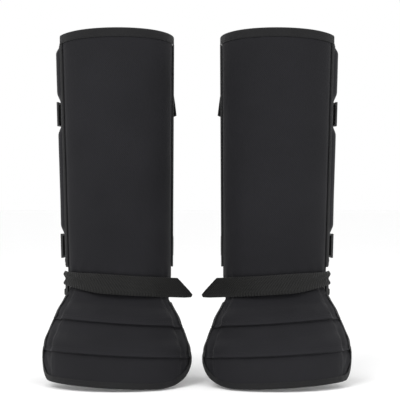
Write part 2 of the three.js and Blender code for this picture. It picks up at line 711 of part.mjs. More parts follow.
/** The tail's inner face in plan: from the ladder lock, over the shin and on past its inner side. */
function tailLine(z) {
  const out = SHIN_THICKNESS + TAIL_STAND_OFF;
  const root = STIRRUP_FRONT - LOCK_SIDE - TAIL_ROOT_GAP;
  const start = OUTER_FACE - WEBBING - CLEARANCE - LOCK_THICKNESS + TAIL_OVERLAP;
  const line = [new THREE.Vector2(start, root)];
  for (let degrees = TAIL_MEETS; degrees < TAIL_LEAVES; degrees += SHIN_ARC_STEP) {
    const p = legPoint(degrees, z, out);
    line.push(new THREE.Vector2(p.x, p.y));
  }
  const leaves = legPoint(TAIL_LEAVES, z, out);
  const onward = legPoint(TAIL_LEAVES + 0.5, z, out).sub(leaves).normalize();
  for (const length of [0, TAIL_FREE - TAIL_POINT, TAIL_FREE]) {
    line.push(new THREE.Vector2(leaves.x + onward.x * length, leaves.y + onward.y * length));
  }
  return line;
}

/** The surplus webbing that crosses the front of the ankle and ends in a point. */
function strapTail() {
  const count = tailLine(TAIL_OUTER_LOW).length;
  const section = layerSection([0, WEBBING_WIDTH], 0, WEBBING);
  const stations = tailLine(TAIL_OUTER_LOW).map((_, i) => i);
  return swept(section, stations, (height, out, i) => {
    const low = TAIL_OUTER_LOW - (TAIL_DROP * i) / (count - 2);
    const top = i === count - 1 ? TAIL_TIP : WEBBING_WIDTH;
    const z = low + Math.min(height, top);
    const p = beside(tailLine(z), i, out);
    return new THREE.Vector3(p.x, p.y, z);
  });
}

// ---------------------------------------------------------------------------------------------
// Assembly
// ---------------------------------------------------------------------------------------------

const CLOTH = { color: 0x26262a, roughness: 0.92, metalness: 0 };
const LINING = { color: 0x2b2b2e, roughness: 0.95, metalness: 0 };
const STIFFENER = { color: 0x55565a, roughness: 0.6, metalness: 0 };
const TAPE = { color: 0x1e1e21, roughness: 0.85, metalness: 0 };
const STRAP = { color: 0x2a2a2a, roughness: 0.8, metalness: 0 };
const PLASTIC = { color: 0x161617, roughness: 0.4, metalness: 0 };

/** A named mesh with its own material, placed at a point. */
function piece(name, geometry, finish, x = 0, y = 0, z = 0) {
  const mesh = new THREE.Mesh(geometry, new THREE.MeshStandardMaterial(finish));
  mesh.name = name;
  mesh.position.set(x, y, z);
  return mesh;
}

/** One closure at a height: adjuster, both straps and the buckle's three pieces. */
function closure(prefix, level, middle, climb, flare) {
  return [
    piece(`${prefix}_${level}_adjuster`, adjuster(middle), PLASTIC),
    piece(`${prefix}_${level}_strap_outer`, outerStrap(middle), STRAP),
    piece(`${prefix}_${level}_strap_inner`, innerStrap(middle, climb, flare), STRAP),
    piece(`${prefix}_${level}_female`, buckleFemale(), PLASTIC, BUCKLE_MOUTH, BUCKLE_FACE, middle),
    piece(`${prefix}_${level}_male`, buckleMale(), PLASTIC, BUCKLE_MOUTH, BUCKLE_FACE, middle),
    piece(`${prefix}_${level}_prongs`, buckleProngs(), PLASTIC, BUCKLE_MOUTH, BUCKLE_FACE, middle),
  ];
}

/** One gaiter in its own frame, with its outer side at -X. */
function gaiter(prefix) {
  const group = new THREE.Group();
  const insertFace = FABRIC + CLEARANCE;
  const coverFace = insertFace + SHIN_INSERT + CLEARANCE;
  group.add(
    piece(`${prefix}_shin_lining`, shinLayer(0, FABRIC, 0), LINING),
    piece(`${prefix}_shin_insert`, shinLayer(insertFace, insertFace + SHIN_INSERT, SHIN_INSET), STIFFENER),
    piece(`${prefix}_shin_cover`, shinLayer(coverFace, coverFace + FABRIC, 0), CLOTH),
    piece(`${prefix}_top_binding`, topBinding(), TAPE),
  );
  for (const [side, word] of [[-1, 'outer'], [1, 'inner']]) {
    group.add(piece(`${prefix}_${word}_wing_pocket`, wingPocket(side), CLOTH));
    group.add(piece(`${prefix}_${word}_wing_insert`, wingInsert(side), STIFFENER));
  }
  group.add(...closure(prefix, 'upper', UPPER_STRAP, UPPER_STRAP_RISE, UPPER_STRAP_FLARE));
  group.add(...closure(prefix, 'lower', LOWER_STRAP, 0, 0));
  for (const pad of PADS) {
    group.add(piece(`${prefix}_${pad.name}`, padPocket(pad), CLOTH));
    group.add(piece(`${prefix}_${pad.name}_insert`, padInsert(pad), STIFFENER));
  }
  const lockX = OUTER_FACE - WEBBING - CLEARANCE;
  const lockY = STIRRUP_FRONT + WEBBING_WIDTH / 2;
  group.add(
    piece(`${prefix}_toe_binding`, toeBinding(), TAPE),
    piece(`${prefix}_stirrup_strap`, stirrupStrap(), STRAP),
    piece(`${prefix}_ladder_lock`, ladderLock(), PLASTIC, lockX, lockY, STIRRUP_TOP_OUTER),
    piece(`${prefix}_strap_tail`, strapTail(), STRAP),
  );
  return group;
}

/** The pair: the wearer's right gaiter, and its mirror image for the left leg. */
function pair() {
  const both = new THREE.Group();
  const right = gaiter('right');
  right.position.x = -LEG_SPACING / 2;
  const left = gaiter('left');
  left.position.x = LEG_SPACING / 2;
  left.scale.x = -1;
  both.add(right, left);
  return both;
}

const model = pair();
const bounds = new THREE.Box3().setFromObject(model, true);
const centre = bounds.getCenter(new THREE.Vector3());
model.position.set(-centre.x, -centre.y, -bounds.min.z);

const gaiters = new THREE.Group();
gaiters.name = 'gaiters';
gaiters.add(model);

export default gaiters;
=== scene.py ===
"""A pair of padded leg gaiters: cloth, bindings, webbing, stitching and plastic hardware.

Sizes are in millimetres in one gaiter's own frame (origin under the leg's axis, outer side at -X,
front at -Y). The right gaiter is modelled; the left one is its mirror image.
"""

import logging
import math
from dataclasses import dataclass
from enum import Enum
from typing import Callable, Optional, Sequence

import bpy
import numpy as np
from mathutils import Matrix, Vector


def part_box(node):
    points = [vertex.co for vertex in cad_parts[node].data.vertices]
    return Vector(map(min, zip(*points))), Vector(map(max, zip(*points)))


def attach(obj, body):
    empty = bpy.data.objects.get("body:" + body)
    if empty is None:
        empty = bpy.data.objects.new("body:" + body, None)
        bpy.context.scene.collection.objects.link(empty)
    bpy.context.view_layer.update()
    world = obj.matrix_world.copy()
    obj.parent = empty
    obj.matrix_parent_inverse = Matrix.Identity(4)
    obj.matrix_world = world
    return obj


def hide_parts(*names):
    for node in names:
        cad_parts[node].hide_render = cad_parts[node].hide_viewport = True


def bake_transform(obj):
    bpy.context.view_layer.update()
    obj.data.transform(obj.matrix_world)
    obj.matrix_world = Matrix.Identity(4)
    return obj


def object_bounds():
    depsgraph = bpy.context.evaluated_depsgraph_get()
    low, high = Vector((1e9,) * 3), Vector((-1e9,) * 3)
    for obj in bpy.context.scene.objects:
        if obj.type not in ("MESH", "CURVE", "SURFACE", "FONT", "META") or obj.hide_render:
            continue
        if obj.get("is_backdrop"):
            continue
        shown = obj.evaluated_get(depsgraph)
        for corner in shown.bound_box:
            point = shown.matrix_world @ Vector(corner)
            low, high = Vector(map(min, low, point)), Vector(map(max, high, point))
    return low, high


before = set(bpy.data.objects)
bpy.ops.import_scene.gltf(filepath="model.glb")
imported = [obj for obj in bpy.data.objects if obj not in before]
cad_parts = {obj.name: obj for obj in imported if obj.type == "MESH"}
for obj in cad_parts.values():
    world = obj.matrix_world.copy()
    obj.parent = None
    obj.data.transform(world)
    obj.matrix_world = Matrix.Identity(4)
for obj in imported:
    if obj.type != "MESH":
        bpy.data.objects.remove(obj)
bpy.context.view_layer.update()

log = logging.getLogger("gaiters")
Array = np.ndarray
Placer = Callable[[Array, Array, Array], Array]

AXIS_X = 102.0
WING_FLOOR = 143.0
STIRRUP_FRONT = -16.0
SHIFT_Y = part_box("right_stirrup_strap")[0].y * 1000 - STIRRUP_FRONT
SHIFT_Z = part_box("right_outer_wing_pocket")[0].z * 1000 - WING_FLOOR


class Side(Enum):
    """The two legs."""

    RIGHT = "right"
    LEFT = "left"


class Slot(Enum):
    """The record's material slots."""

    CLOTH = "shell_cloth"
    LINING = "lining"
    TAPE = "binding_tape"
    WEBBING = "webbing"
    HARDWARE = "hardware"


def ease(t: Array) -> Array:
    """Smooth step from 0 to 1."""
    t = np.clip(t, 0.0, 1.0)
    return t * t * (3.0 - 2.0 * t)


def mix(a: Array, b: Array, t: Array) -> Array:
    """Straight blend from a to b."""
    return a + (b - a) * t


def bump(x: Array, middle: float, width: float) -> Array:
    """Rounded hump of height 1 about a middle."""
    return np.exp(-(((x - middle) / width) ** 2))


def ripple(x: Array, y: Array, size: float, seed: int) -> Array:
    """Smooth, repeatable unevenness.

    Args:
        x: Places along one direction, in millimetres.
        y: Places along the other direction.
        size: Typical distance between two waves, in millimetres.
        seed: Which pattern.

    Returns:
        Values of about -1 to 1.
    """
    rng = np.random.default_rng(seed)
    total = np.zeros(np.broadcast(x, y).shape)
    for _ in range(8):
        angle = rng.uniform(0.0, 2.0 * math.pi)
        wave = 2.0 * math.pi / size * rng.uniform(0.6, 1.7)
        phase = rng.uniform(0.0, 2.0 * math.pi)
        total += np.sin(wave * (x * math.cos(angle) + y * math.sin(angle)) + phase)
    return total / 4.0


def to_world(points: Array) -> Array:
    """The right gaiter's points, from its own millimetres to the shared frame's metres."""
    return (points + np.array([-AXIS_X, SHIFT_Y, SHIFT_Z])) * 0.001


def unit(vectors: Array) -> Array:
    """Vectors scaled to length 1."""
    return vectors / np.maximum(np.linalg.norm(vectors, axis=-1, keepdims=True), 1e-9)


def resample(line: Array, count: int) -> Array:
    """A polyline as that many points, evenly spaced along it.

    Args:
        line: The polyline.
        count: How many points to give.

    Returns:
        The new points.
    """
    steps = np.linalg.norm(np.diff(line, axis=0), axis=1)
    run = np.concatenate([[0.0], np.cumsum(steps)])
    at = np.linspace(0.0, run[-1], count)
    return np.stack([np.interp(at, run, line[:, k]) for k in range(line.shape[1])], axis=1)


def rounded(line: Array, count: int, reach: int = 2) -> Array:
    """A polyline resampled evenly, with its corners softened over that many neighbours.

    Args:
        line: The polyline.
        count: How many points to give.
        reach: How many times it is softened.

    Returns:
        The softened points.
    """
    points = resample(line, count)
    for _ in range(reach):
        points[1:-1] = (points[:-2] + 2.0 * points[1:-1] + points[2:]) / 4.0
    return points


def length_of(line: Array) -> float:
    """A polyline's length."""
    return float(np.linalg.norm(np.diff(line, axis=0), axis=1).sum())


# ---------------------------------------------------------------------------------------------
# Forms that the pieces follow
# ---------------------------------------------------------------------------------------------


@dataclass(frozen=True)
class LegForm:
    """The leg opening: an oval that widens from the ankle to the calf."""

    calf_half: float = 70.1
    ankle_half: float = 64.3
    calf_shift: float = -2.8
    ankle_shift: float = 1.3
    calf_level: float = 445.0
    ankle_level: float = 115.0
    front_depth: float = 50.0
    back_depth: float = 54.0

    def point(self, degrees: Array, z: Array, out: Array) -> Array:
        """A place on the leg's surface.

        Args:
            degrees: Angle from the middle of the front, positive on the inner side.
            z: Height.
            out: Distance outside the lining's inner face.

        Returns:
            Points, in millimetres.
        """
        t = (z - self.ankle_level) / (self.calf_level - self.ankle_level)
        half = mix(self.ankle_half, self.calf_half, t)
        shift = mix(self.ankle_shift, self.calf_shift, t)
        turn = np.radians(degrees)
        depth = np.where(np.cos(turn) > 0.0, self.front_depth, self.back_depth)
        nx, ny = np.sin(turn) / half, -np.cos(turn) / depth
        size = np.hypot(nx, ny)
        x = shift + half * np.sin(turn) + out * nx / size
        y = -depth * np.cos(turn) + out * ny / size
        return np.stack([x, y, z + 0.0 * x], axis=-1)


@dataclass(frozen=True)
class ShieldForm:
    """The boot shield's inner surface, from the toe up to where it is tucked behind the shin."""

    heights: tuple = (0, 16, 34, 49, 65, 84, 99, 108, 117, 131)
    halves: tuple = (86, 88, 90, 87.5, 82.5, 73.5, 66.5, 60.82, 58.22, 58.22)
    fronts: tuple = (-145, -135, -125, -113, -96, -77, -53, -47.7, -45.7, -45.7)
    depths: tuple = (62, 60, 58, 54, 50, 43, 29, 28.5, 34.64, 34.64)
    drops: tuple = (0.05, 0.052, 0.056, 0.062, 0.07, 0.075, 0.075, 0.06, 0.05, 0.05)
    shifts: tuple = (3, 3, 3, 3, 3, 3, 2.3, 1.3, 1.3, 1.3)
    wrap: float = 76.0
    softening: tuple = (-5.0, -2.5, 0.0, 2.5, 5.0)

    def _row(self, height: Array, column: Sequence[float]) -> Array:
        """One of the rows' values at a height, softened so that no row shows as a crease."""
        parts = [np.interp(height + d, self.heights, column) for d in self.softening]
        return sum(parts) / len(parts)

    def surface(self, across: Array, height: Array) -> Array:
        """A point of the inner surface, across from -1 (outer side) to 1 (inner side).

        Args:
            across: Place across, from -1 (outer side) to 1 (inner side).
            height: Height on the shield.

        Returns:
            Points, in millimetres.
        """
        turn = across * math.radians(self.wrap)
        x = self._row(height, self.halves) * np.sin(turn) / math.sin(math.radians(self.wrap))
        deep = self._row(height, self.depths) / (1.0 - math.cos(math.radians(self.wrap)))
        y = self._row(height, self.fronts) + deep * (1.0 - np.cos(turn))
        z = height - self._row(height, self.drops) * x
        return np.stack([self._row(height, self.shifts) + x, y, z], axis=-1)

    def point(self, across: Array, height: Array, out: Array) -> Array:
        """A point that far outside the inner surface.

        Args:
            across: Place across, from -1 (outer side) to 1 (inner side).
            height: Height on the shield.
            out: Distance off the surface.

        Returns:
            Points, in millimetres.
        """
        side = self.surface(across + 0.01, height) - self.surface(across - 0.01, height)
        up = self.surface(across, height + 1.0) - self.surface(across, height - 1.0)
        return self.surface(across, height) + unit(np.cross(side, up)) * np.asarray(out)[..., None]


LEG = LegForm()
SHIELD = ShieldForm()


# ---------------------------------------------------------------------------------------------
# Finishes
# ---------------------------------------------------------------------------------------------


class Board:
    """A material's node tree, with short calls for the nodes that the finishes share."""

    def __init__(self, name: str) -> None:
        """Makes an empty material with its principled shader.

        Args:
            name: Its name.
        """
        self.material = bpy.data.materials.new(name)
        self.material.use_nodes = True
        self.nodes = self.material.node_tree.nodes
        self.links = self.material.node_tree.links
        self.shader = self.nodes["Principled BSDF"]

    def _feed(self, socket: bpy.types.NodeSocket, value: object) -> None:
        """Sets a socket to a number, or links it to another socket.

        Args:
            socket: The socket to set.
            value: A number, a colour or another socket.
        """
        if isinstance(value, bpy.types.NodeSocket):
            self.links.new(value, socket)
        else:
            socket.default_value = value

    def math(self, operation: str, a: object, b: object = 0.0) -> bpy.types.NodeSocket:
        """The result of a math node on a and b.

        Args:
            operation: Blender's name for the operation.
            a: The first number or socket.
            b: The second number or socket.

        Returns:
            The node's output.
        """
        node = self.nodes.new("ShaderNodeMath")
        node.operation = operation
        self._feed(node.inputs[0], a)
        self._feed(node.inputs[1], b)
        return node.outputs[0]

    def uv(self) -> tuple[bpy.types.NodeSocket, bpy.types.NodeSocket]:
        """The piece's own UV map, in metres, as two numbers.

        Returns:
            The two coordinates.
        """
        place = self.nodes.new("ShaderNodeUVMap")
        place.uv_map = "Cloth"
        split = self.nodes.new("ShaderNodeSeparateXYZ")
        self.links.new(place.outputs[0], split.inputs[0])
        return split.outputs[0], split.outputs[1]

    def noise(self, scale: float, detail: float = 4.0, stretch: Sequence[float] = (1, 1, 1),
              flat: bool = False) -> bpy.types.NodeSocket:
        """Noise on the piece's object coordinates, or on its UV map.

        Args:
            scale: Waves in a metre.
            detail: Octaves of finer noise.
            stretch: How much denser it is along each axis.
            flat: Whether it reads the UV map.

        Returns:
            The noise's value, from 0 to 1.
        """
        if flat:
            place = self.nodes.new("ShaderNodeUVMap")
            place.uv_map = "Cloth"
            where = place.outputs[0]
        else:
            where = self.nodes.new("ShaderNodeTexCoord").outputs["Object"]
        mapping = self.nodes.new("ShaderNodeMapping")
        mapping.inputs["Scale"].default_value = tuple(stretch)
        node = self.nodes.new("ShaderNodeTexNoise")
        node.inputs["Scale"].default_value = scale
        node.inputs["Detail"].default_value = detail
        self.links.new(where, mapping.inputs[0])
        self.links.new(mapping.outputs[0], node.inputs["Vector"])
        return node.outputs[0]

    def spread(self, value: object, low: float, high: float) -> bpy.types.NodeSocket:
        """A 0 to 1 value spread from low to high."""
        return self.math("ADD", self.math("MULTIPLY", value, high - low), low)

    def attribute(self, name: str) -> bpy.types.NodeSocket:
        """A number that the piece's mesh carries.

        Args:
            name: Its name.

        Returns:
            The attribute's output.
        """
        node = self.nodes.new("ShaderNodeAttribute")
        node.attribute_name = name
        return node.outputs["Fac"]

    def colour(self, value: object, dark: Sequence[float], light: Sequence[float]) -> None:
        """Feeds the base colour with a blend from dark to light.

        Args:
            value: Where the blend is, from 0 to 1.
            dark: The colour at 0.
            light: The colour at 1.
        """
        node = self.nodes.new("ShaderNodeMix")
        node.data_type = "RGBA"
        self._feed(node.inputs[0], value)
        node.inputs[6].default_value = (*dark, 1.0)
        node.inputs[7].default_value = (*light, 1.0)
        self.links.new(node.outputs[2], self.shader.inputs["Base Color"])

    def relief(self, *layers: tuple[object, float, float]) -> None:
        """Feeds the normal with bump layers, each a height, a strength and a distance in metres.

        Args:
            layers: Each layer's height, strength and distance.
        """
        normal = None
        for height, strength, distance in layers:
            node = self.nodes.new("ShaderNodeBump")
            node.inputs["Strength"].default_value = strength
            node.inputs["Distance"].default_value = distance
            self._feed(node.inputs["Height"], height)
            if normal is not None:
                self.links.new(normal, node.inputs["Normal"])
            normal = node.outputs[0]
        self.links.new(normal, self.shader.inputs["Normal"])

    def set(self, **values: object) -> None:
        """Sets the shader's sockets by name, with underscores for spaces."""
        for name, value in values.items():
            self._feed(self.shader.inputs[name.replace("_", " ")], value)


@dataclass(frozen=True)
class WovenCloth:
    """Coated plain-weave nylon."""

    name: str
    dark: tuple
    light: tuple
    thread: float = 0.0011
    depth: float = 0.00016
    rough: float = 0.7
    sheen: float = 0.05

    def make(self) -> bpy.types.Material:
        """The cloth's material: interlaced threads, slubs, handling marks and a painted sheen, lighter along
        its rim.

        Returns:
            The material.
        """
        board = Board(self.name)
        u, v = board.uv()
        wave = math.pi / self.thread
        warp = board.math("SINE", board.math("MULTIPLY", u, wave))
        weft = board.math("SINE", board.math("MULTIPLY", v, wave))
        weave = board.math("MULTIPLY", warp, weft)
        slub_u = board.noise(90.0, 3.0, (14.0, 1.0, 1.0), flat=True)
        slub_v = board.noise(90.0, 3.0, (1.0, 14.0, 1.0), flat=True)
        slubs = board.math("ADD", slub_u, slub_v)
        clouds = board.noise(11.0, 3.0)
        rim = board.attribute("rim")
        tone = board.math("ADD", board.math("MULTIPLY", slubs, 0.35), board.spread(weave, 0.0, 0.1))
        tone = board.math("ADD", tone, board.spread(clouds, -0.25, 0.35))
        # Painted sheen: the cloth is painted lighter in a band along each piece's edges.
        tone = board.math("ADD", tone, board.math("MULTIPLY", rim, 0.12))
        board.colour(tone, self.dark, self.light)
        board.set(Roughness=board.spread(slubs, self.rough - 0.12, self.rough + 0.06))
        board.set(Sheen_Weight=self.sheen, Sheen_Roughness=0.4, Specular_IOR_Level=0.16)
        board.relief((weave, 0.55, self.depth), (slubs, 0.35, 0.00018), (clouds, 0.2, 0.0015))
        return board.material


@dataclass(frozen=True)
class RibbedWeb:
    """Nylon webbing or tape, with ribs that run slanted or straight across it."""

    name: str
    dark: tuple
    light: tuple
    pitch: float
    slant: float
    depth: float

    def make(self) -> bpy.types.Material:
        """The webbing's material: ribs, finer threads along them and fuzz.

        Returns:
            The material.
        """
        board = Board(self.name)
        u, v = board.uv()
        along = board.math("ADD", u, board.math("MULTIPLY", v, self.slant))
        ribs = board.math("SINE", board.math("MULTIPLY", along, 2.0 * math.pi / self.pitch))
        fine = board.math("SINE", board.math("MULTIPLY", v, 2.0 * math.pi / (self.pitch * 0.45)))
        fuzz = board.noise(700.0, 4.0)
        worn = board.noise(26.0, 3.0)
        tone = board.math("ADD", board.spread(ribs, 0.3, 0.5), board.spread(fuzz, -0.15, 0.25))
        tone = board.math("ADD", tone, board.spread(worn, -0.25, 0.3))
        board.colour(tone, self.dark, self.light)
        board.set(Roughness=board.spread(fuzz, 0.52, 0.8))
        board.set(Sheen_Weight=0.06, Sheen_Roughness=0.4, Specular_IOR_Level=0.2)
        board.relief((ribs, 0.7, self.depth), (fine, 0.3, self.depth * 0.4), (fuzz, 0.2, 0.0002))
        return board.material


@dataclass(frozen=True)
class TwistedThread:
    """Bonded sewing thread."""

    name: str = "thread"
    dark: tuple = (0.004, 0.004, 0.0045)
    light: tuple = (0.018, 0.018, 0.02)

    def make(self) -> bpy.types.Material:
        """The thread's material: plies and a waxy shine.

        Returns:
            The material.
        """
        board = Board(self.name)
        plies = board.noise(2600.0, 2.0, (1.0, 1.0, 0.3))
        board.colour(plies, self.dark, self.light)
        board.set(Roughness=board.spread(plies, 0.35, 0.6), Specular_IOR_Level=0.25)
        board.relief((plies, 0.5, 0.0001))
        return board.material


@dataclass(frozen=True)
class MouldedPlastic:
    """Acetal buckle plastic with a fine spark-eroded grain."""

    name: str = "moulded plastic"
    dark: tuple = (0.007, 0.007, 0.0075)
    light: tuple = (0.022, 0.022, 0.023)

    def make(self) -> bpy.types.Material:
        """The plastic's material: grain, faint scuffs and polished patches.

        Returns:
            The material.
        """
        board = Board(self.name)
        grain = board.noise(2200.0, 3.0)
        scuffs = board.noise(160.0, 6.0, (1.0, 4.0, 1.0))
        board.colour(board.math("POWER", scuffs, 2.0), self.dark, self.light)
        board.set(Roughness=board.spread(scuffs, 0.26, 0.5), Specular_IOR_Level=0.5)
        board.relief((grain, 0.25, 0.00006), (scuffs, 0.1, 0.0002))
        return board.material


@dataclass(frozen=True)
class StudioPaper:
    """The pale sweep that the gaiters stand on."""

    name: str = "studio paper"

    def make(self) -> bpy.types.Material:
        """The paper's material: pale, with a barely uneven tone.

        Returns:
            The material.
        """
        board = Board(self.name)
        board.colour(board.noise(3.0, 2.0), (0.975, 0.975, 0.975), (0.99, 0.99, 0.99))
        board.set(Roughness=board.spread(board.noise(40.0, 2.0), 0.85, 0.95))
        board.set(Specular_IOR_Level=0.1)
        return board.material


class Finishes:
    """Every material of the pair, made once."""

    def __init__(self) -> None:
        """Makes the materials."""
        self.cloth = WovenCloth("shell cloth", (0.004, 0.004, 0.0049), (0.0155, 0.0152, 0.0182)).make()
        self.lining = WovenCloth(
            "lining", (0.006, 0.006, 0.0062), (0.02, 0.02, 0.0205),
            thread=0.0008, depth=0.0001, rough=0.8, sheen=0.12,
        ).make()
        self.tape = RibbedWeb(
            "binding tape", (0.003, 0.003, 0.0034), (0.0115, 0.0115, 0.0125), 0.0011, 0.0, 0.00014,
        ).make()
        self.web = RibbedWeb(
            "webbing", (0.0035, 0.0035, 0.0034), (0.0165, 0.0165, 0.016), 0.0039, 0.25, 0.0004,
        ).make()
        self.thread = TwistedThread().make()
        self.plastic = MouldedPlastic().make()
        self.paper = StudioPaper().make()


# ---------------------------------------------------------------------------------------------
# The workbench
# ---------------------------------------------------------------------------------------------


@dataclass(frozen=True)
class Swelling:
    """How a padded piece's front swells: where it is free (0 to 1), its pressure and its most, in mm."""

    free: Callable[[Array, Array], Array]
    pressure: float = 4.0
    most: float = 1.3
    frames: int = 14


@dataclass(frozen=True)
class Fitting:
    """How a piece is fitted to the frame; names hold {p} where the leg's name goes."""

    body: str
    slot: Optional[Slot] = None
    replaced: tuple = ()
    fill: Optional[float] = None
    turns_to: Optional[str] = None
    start: Optional[Array] = None
    end: Optional[Array] = None


class Bench:
    """Starts solids from primitives, shapes them and fits them to both gaiters."""

    def __init__(self, finishes: Finishes) -> None:
        """Keeps the finishes that the pieces take."""
        self.finishes = finishes

    @staticmethod
    def deselect() -> None:
        """Leaves nothing selected."""
        if bpy.context.object and bpy.context.object.mode != "OBJECT":
            bpy.ops.object.mode_set(mode="OBJECT")
        bpy.ops.object.select_all(action="DESELECT")

    def slab(self, columns: int, rows: int) -> bpy.types.Object:
        """A flat slab of one unit each way, closed all round, as a start for a layer of cloth.

        Args:
            columns: Faces along its first direction.
            rows: Faces along its second direction.

        Returns:
            The slab, with its faces outwards.
        """
        self.deselect()
        bpy.ops.mesh.primitive_grid_add(
            x_subdivisions=columns, y_subdivisions=rows, size=1.0, location=(0.5, 0.5, 0.0))
        piece = bpy.context.object
        bpy.ops.object.transform_apply(location=True, rotation=True, scale=True)
        bpy.ops.object.mode_set(mode="EDIT")
        bpy.ops.mesh.select_all(action="SELECT")
        bpy.ops.mesh.extrude_region_move(TRANSFORM_OT_translate={"value": (0.0, 0.0, 1.0)})
        bpy.ops.mesh.select_all(action="SELECT")
        bpy.ops.mesh.normals_make_consistent(inside=False)
        bpy.ops.object.mode_set(mode="OBJECT")
        return piece

    def layer(self, columns: int, rows: int, place: Placer, size: tuple[float, float],
              finish: bpy.types.Material, back: Optional[bpy.types.Material] = None,
              roundness: float = 0.4, sheen_rim_width: float = 7.0,
              swelling: Optional[Swelling] = None) -> bpy.types.Object:
        """A shaped layer: a slab whose points are moved to where a function puts them.

        Args:
            columns: Faces along its first direction, u.
            rows: Faces along its second direction, v.
            place: Gives a point for u, v (0 to 1) and w (0 at the back, 1 at the front).
            size: Its width and height in millimetres, for the weave.
            finish: The front's and the edges' material.
            back: The back's material, or None for the same.
            roundness: Radius of its edges.
            sheen_rim_width: Width of the rim that is painted lighter, as painted sheen.
            swelling: How its front swells under the padding's pressure, if it does.

        Returns:
            The piece, in the shared frame.
        """
        piece = self.slab(columns, rows)
        mesh = piece.data
        flat = np.zeros(len(mesh.vertices) * 3)
        mesh.vertices.foreach_get("co", flat)
        u, v, w = flat.reshape(-1, 3).T.copy()
        u, v, w = np.clip(u, 0, 1), np.clip(v, 0, 1), np.round(w)
        self._paint(piece, u, v, w, size, sheen_rim_width, finish, back)
        mesh.vertices.foreach_set("co", to_world(place(u, v, w)).ravel())
        mesh.update()
        self._outward(piece)
        if swelling is not None:
            self.swell(piece, np.where(w > 0.5, swelling.free(u, v), 0.0), swelling)
        self.soften(piece, roundness)
        return piece

    @staticmethod
    def swell(piece: bpy.types.Object, free: Array, swelling: Swelling) -> None:
        """Lets the padding's pressure push out a piece's cloth, by a cloth simulation.

        Args:
            piece: The closed piece.
            free: How free each point is, from 0 (sewn down) to 1.
            swelling: The pressure, the most that a point moves and the frames run.
        """
        scene = bpy.context.scene
        rest = np.zeros(len(free) * 3)
        piece.data.vertices.foreach_get("co", rest)
        held = piece.vertex_groups.new(name="held")
        levels = np.round(1.0 - free, 1)
        for level in np.unique(levels):
            held.add(np.flatnonzero(levels == level).tolist(), float(level), "REPLACE")
        cloth = piece.modifiers.new("padding", "CLOTH")
        cloth.settings.vertex_group_mass = held.name
        cloth.settings.use_pressure = True
        cloth.settings.uniform_pressure_force = swelling.pressure
        cloth.settings.effector_weights.gravity = 0.0
        cloth.point_cache.frame_end = swelling.frames
        for step in range(1, swelling.frames + 1):
            scene.frame_set(step)
        shown = piece.evaluated_get(bpy.context.evaluated_depsgraph_get()).data
        moved = np.zeros_like(rest)
        shown.vertices.foreach_get("co", moved)
        piece.modifiers.remove(cloth)
        piece.vertex_groups.remove(held)
        scene.frame_set(1)
        step = (moved - rest).reshape(-1, 3)
        far = np.linalg.norm(step, axis=1)
        most = swelling.most * 0.001
        scale = np.where(far > 1e-9, most * np.tanh(far / most) / np.maximum(far, 1e-9), 0.0)
        step = step * (scale * ease(free))[:, None]
        piece.data.vertices.foreach_set("co", (rest.reshape(-1, 3) + step).ravel())
        piece.data.update()
        lengths = np.linalg.norm(step, axis=1) * 1000.0
        log.info("swelled by up to %.2f mm, %.2f mm on average where free", lengths.max(),
                 lengths[free > 0.5].mean())

    @staticmethod
    def _paint(piece: bpy.types.Object, u: Array, v: Array, w: Array, size: tuple[float, float],
               sheen_rim_width: float, finish: bpy.types.Material, back: Optional[bpy.types.Material]) -> None:
        """Gives a slab its UV map in metres, its rim's wear and its two materials.

        Args:
            piece: The piece.
            u: Place across, from 0 to 1.
            v: Place up, from 0 to 1.
            w: 0 at the back, 1 at the front.
            size: Its width and height, in millimetres.
            sheen_rim_width: Width of the rim that is painted lighter, as painted sheen.
            finish: The front's material.
            back: The back's material, or None for the same.
        """
        mesh = piece.data
        corners = np.zeros(len(mesh.loops), dtype=np.int64)
        mesh.loops.foreach_get("vertex_index", corners)
        while mesh.uv_layers:
            mesh.uv_layers.remove(mesh.uv_layers[0])
        weave = mesh.uv_layers.new(name="Cloth")
        table = np.stack([u[corners] * size[0], v[corners] * size[1]], axis=1) * 0.001
        weave.data.foreach_set("uv", table.ravel())
        # Rim mask, 1 at the slab's edges and 0 past that width; the cloth reads it as painted sheen.
        reach = np.minimum(np.minimum(u, 1 - u) * size[0], np.minimum(v, 1 - v) * size[1])
        rim = mesh.attributes.new("rim", "FLOAT", "POINT")
        rim.data.foreach_set("value", (1.0 - ease(reach / sheen_rim_width)).astype(np.float32))
        mesh.materials.append(finish)
        if back is not None:
            mesh.materials.append(back)
            for face in mesh.polygons:
                if all(w[i] < 0.5 for i in face.vertices):
                    face.material_index = 1

    def _outward(self, piece: bpy.types.Object) -> None:
        """Turns all faces outwards.

        Args:
            piece: The piece.
        """
        self.deselect()
        piece.select_set(True)
        bpy.context.view_layer.objects.active = piece
        bpy.ops.object.mode_set(mode="EDIT")
        bpy.ops.mesh.select_all(action="SELECT")
        bpy.ops.mesh.normals_make_consistent(inside=False)
        bpy.ops.object.mode_set(mode="OBJECT")

    def soften(self, piece: bpy.types.Object, radius: float, angle: float = 50.0) -> None:
        """Rounds a piece's sharp edges and shades it smooth.

        Args:
            piece: The piece.
            radius: The edges' radius, in millimetres.
            angle: The least angle that is rounded, in degrees.
        """
        self.deselect()
        piece.select_set(True)
        bpy.context.view_layer.objects.active = piece
        rounding = piece.modifiers.new("rounding", "BEVEL")
        rounding.width = radius * 0.001
        rounding.segments = 2
        rounding.limit_method = "ANGLE"
        rounding.angle_limit = math.radians(angle)
        bpy.ops.object.modifier_apply(modifier=rounding.name)
        bpy.ops.object.shade_smooth_by_angle(angle=math.radians(55.0))

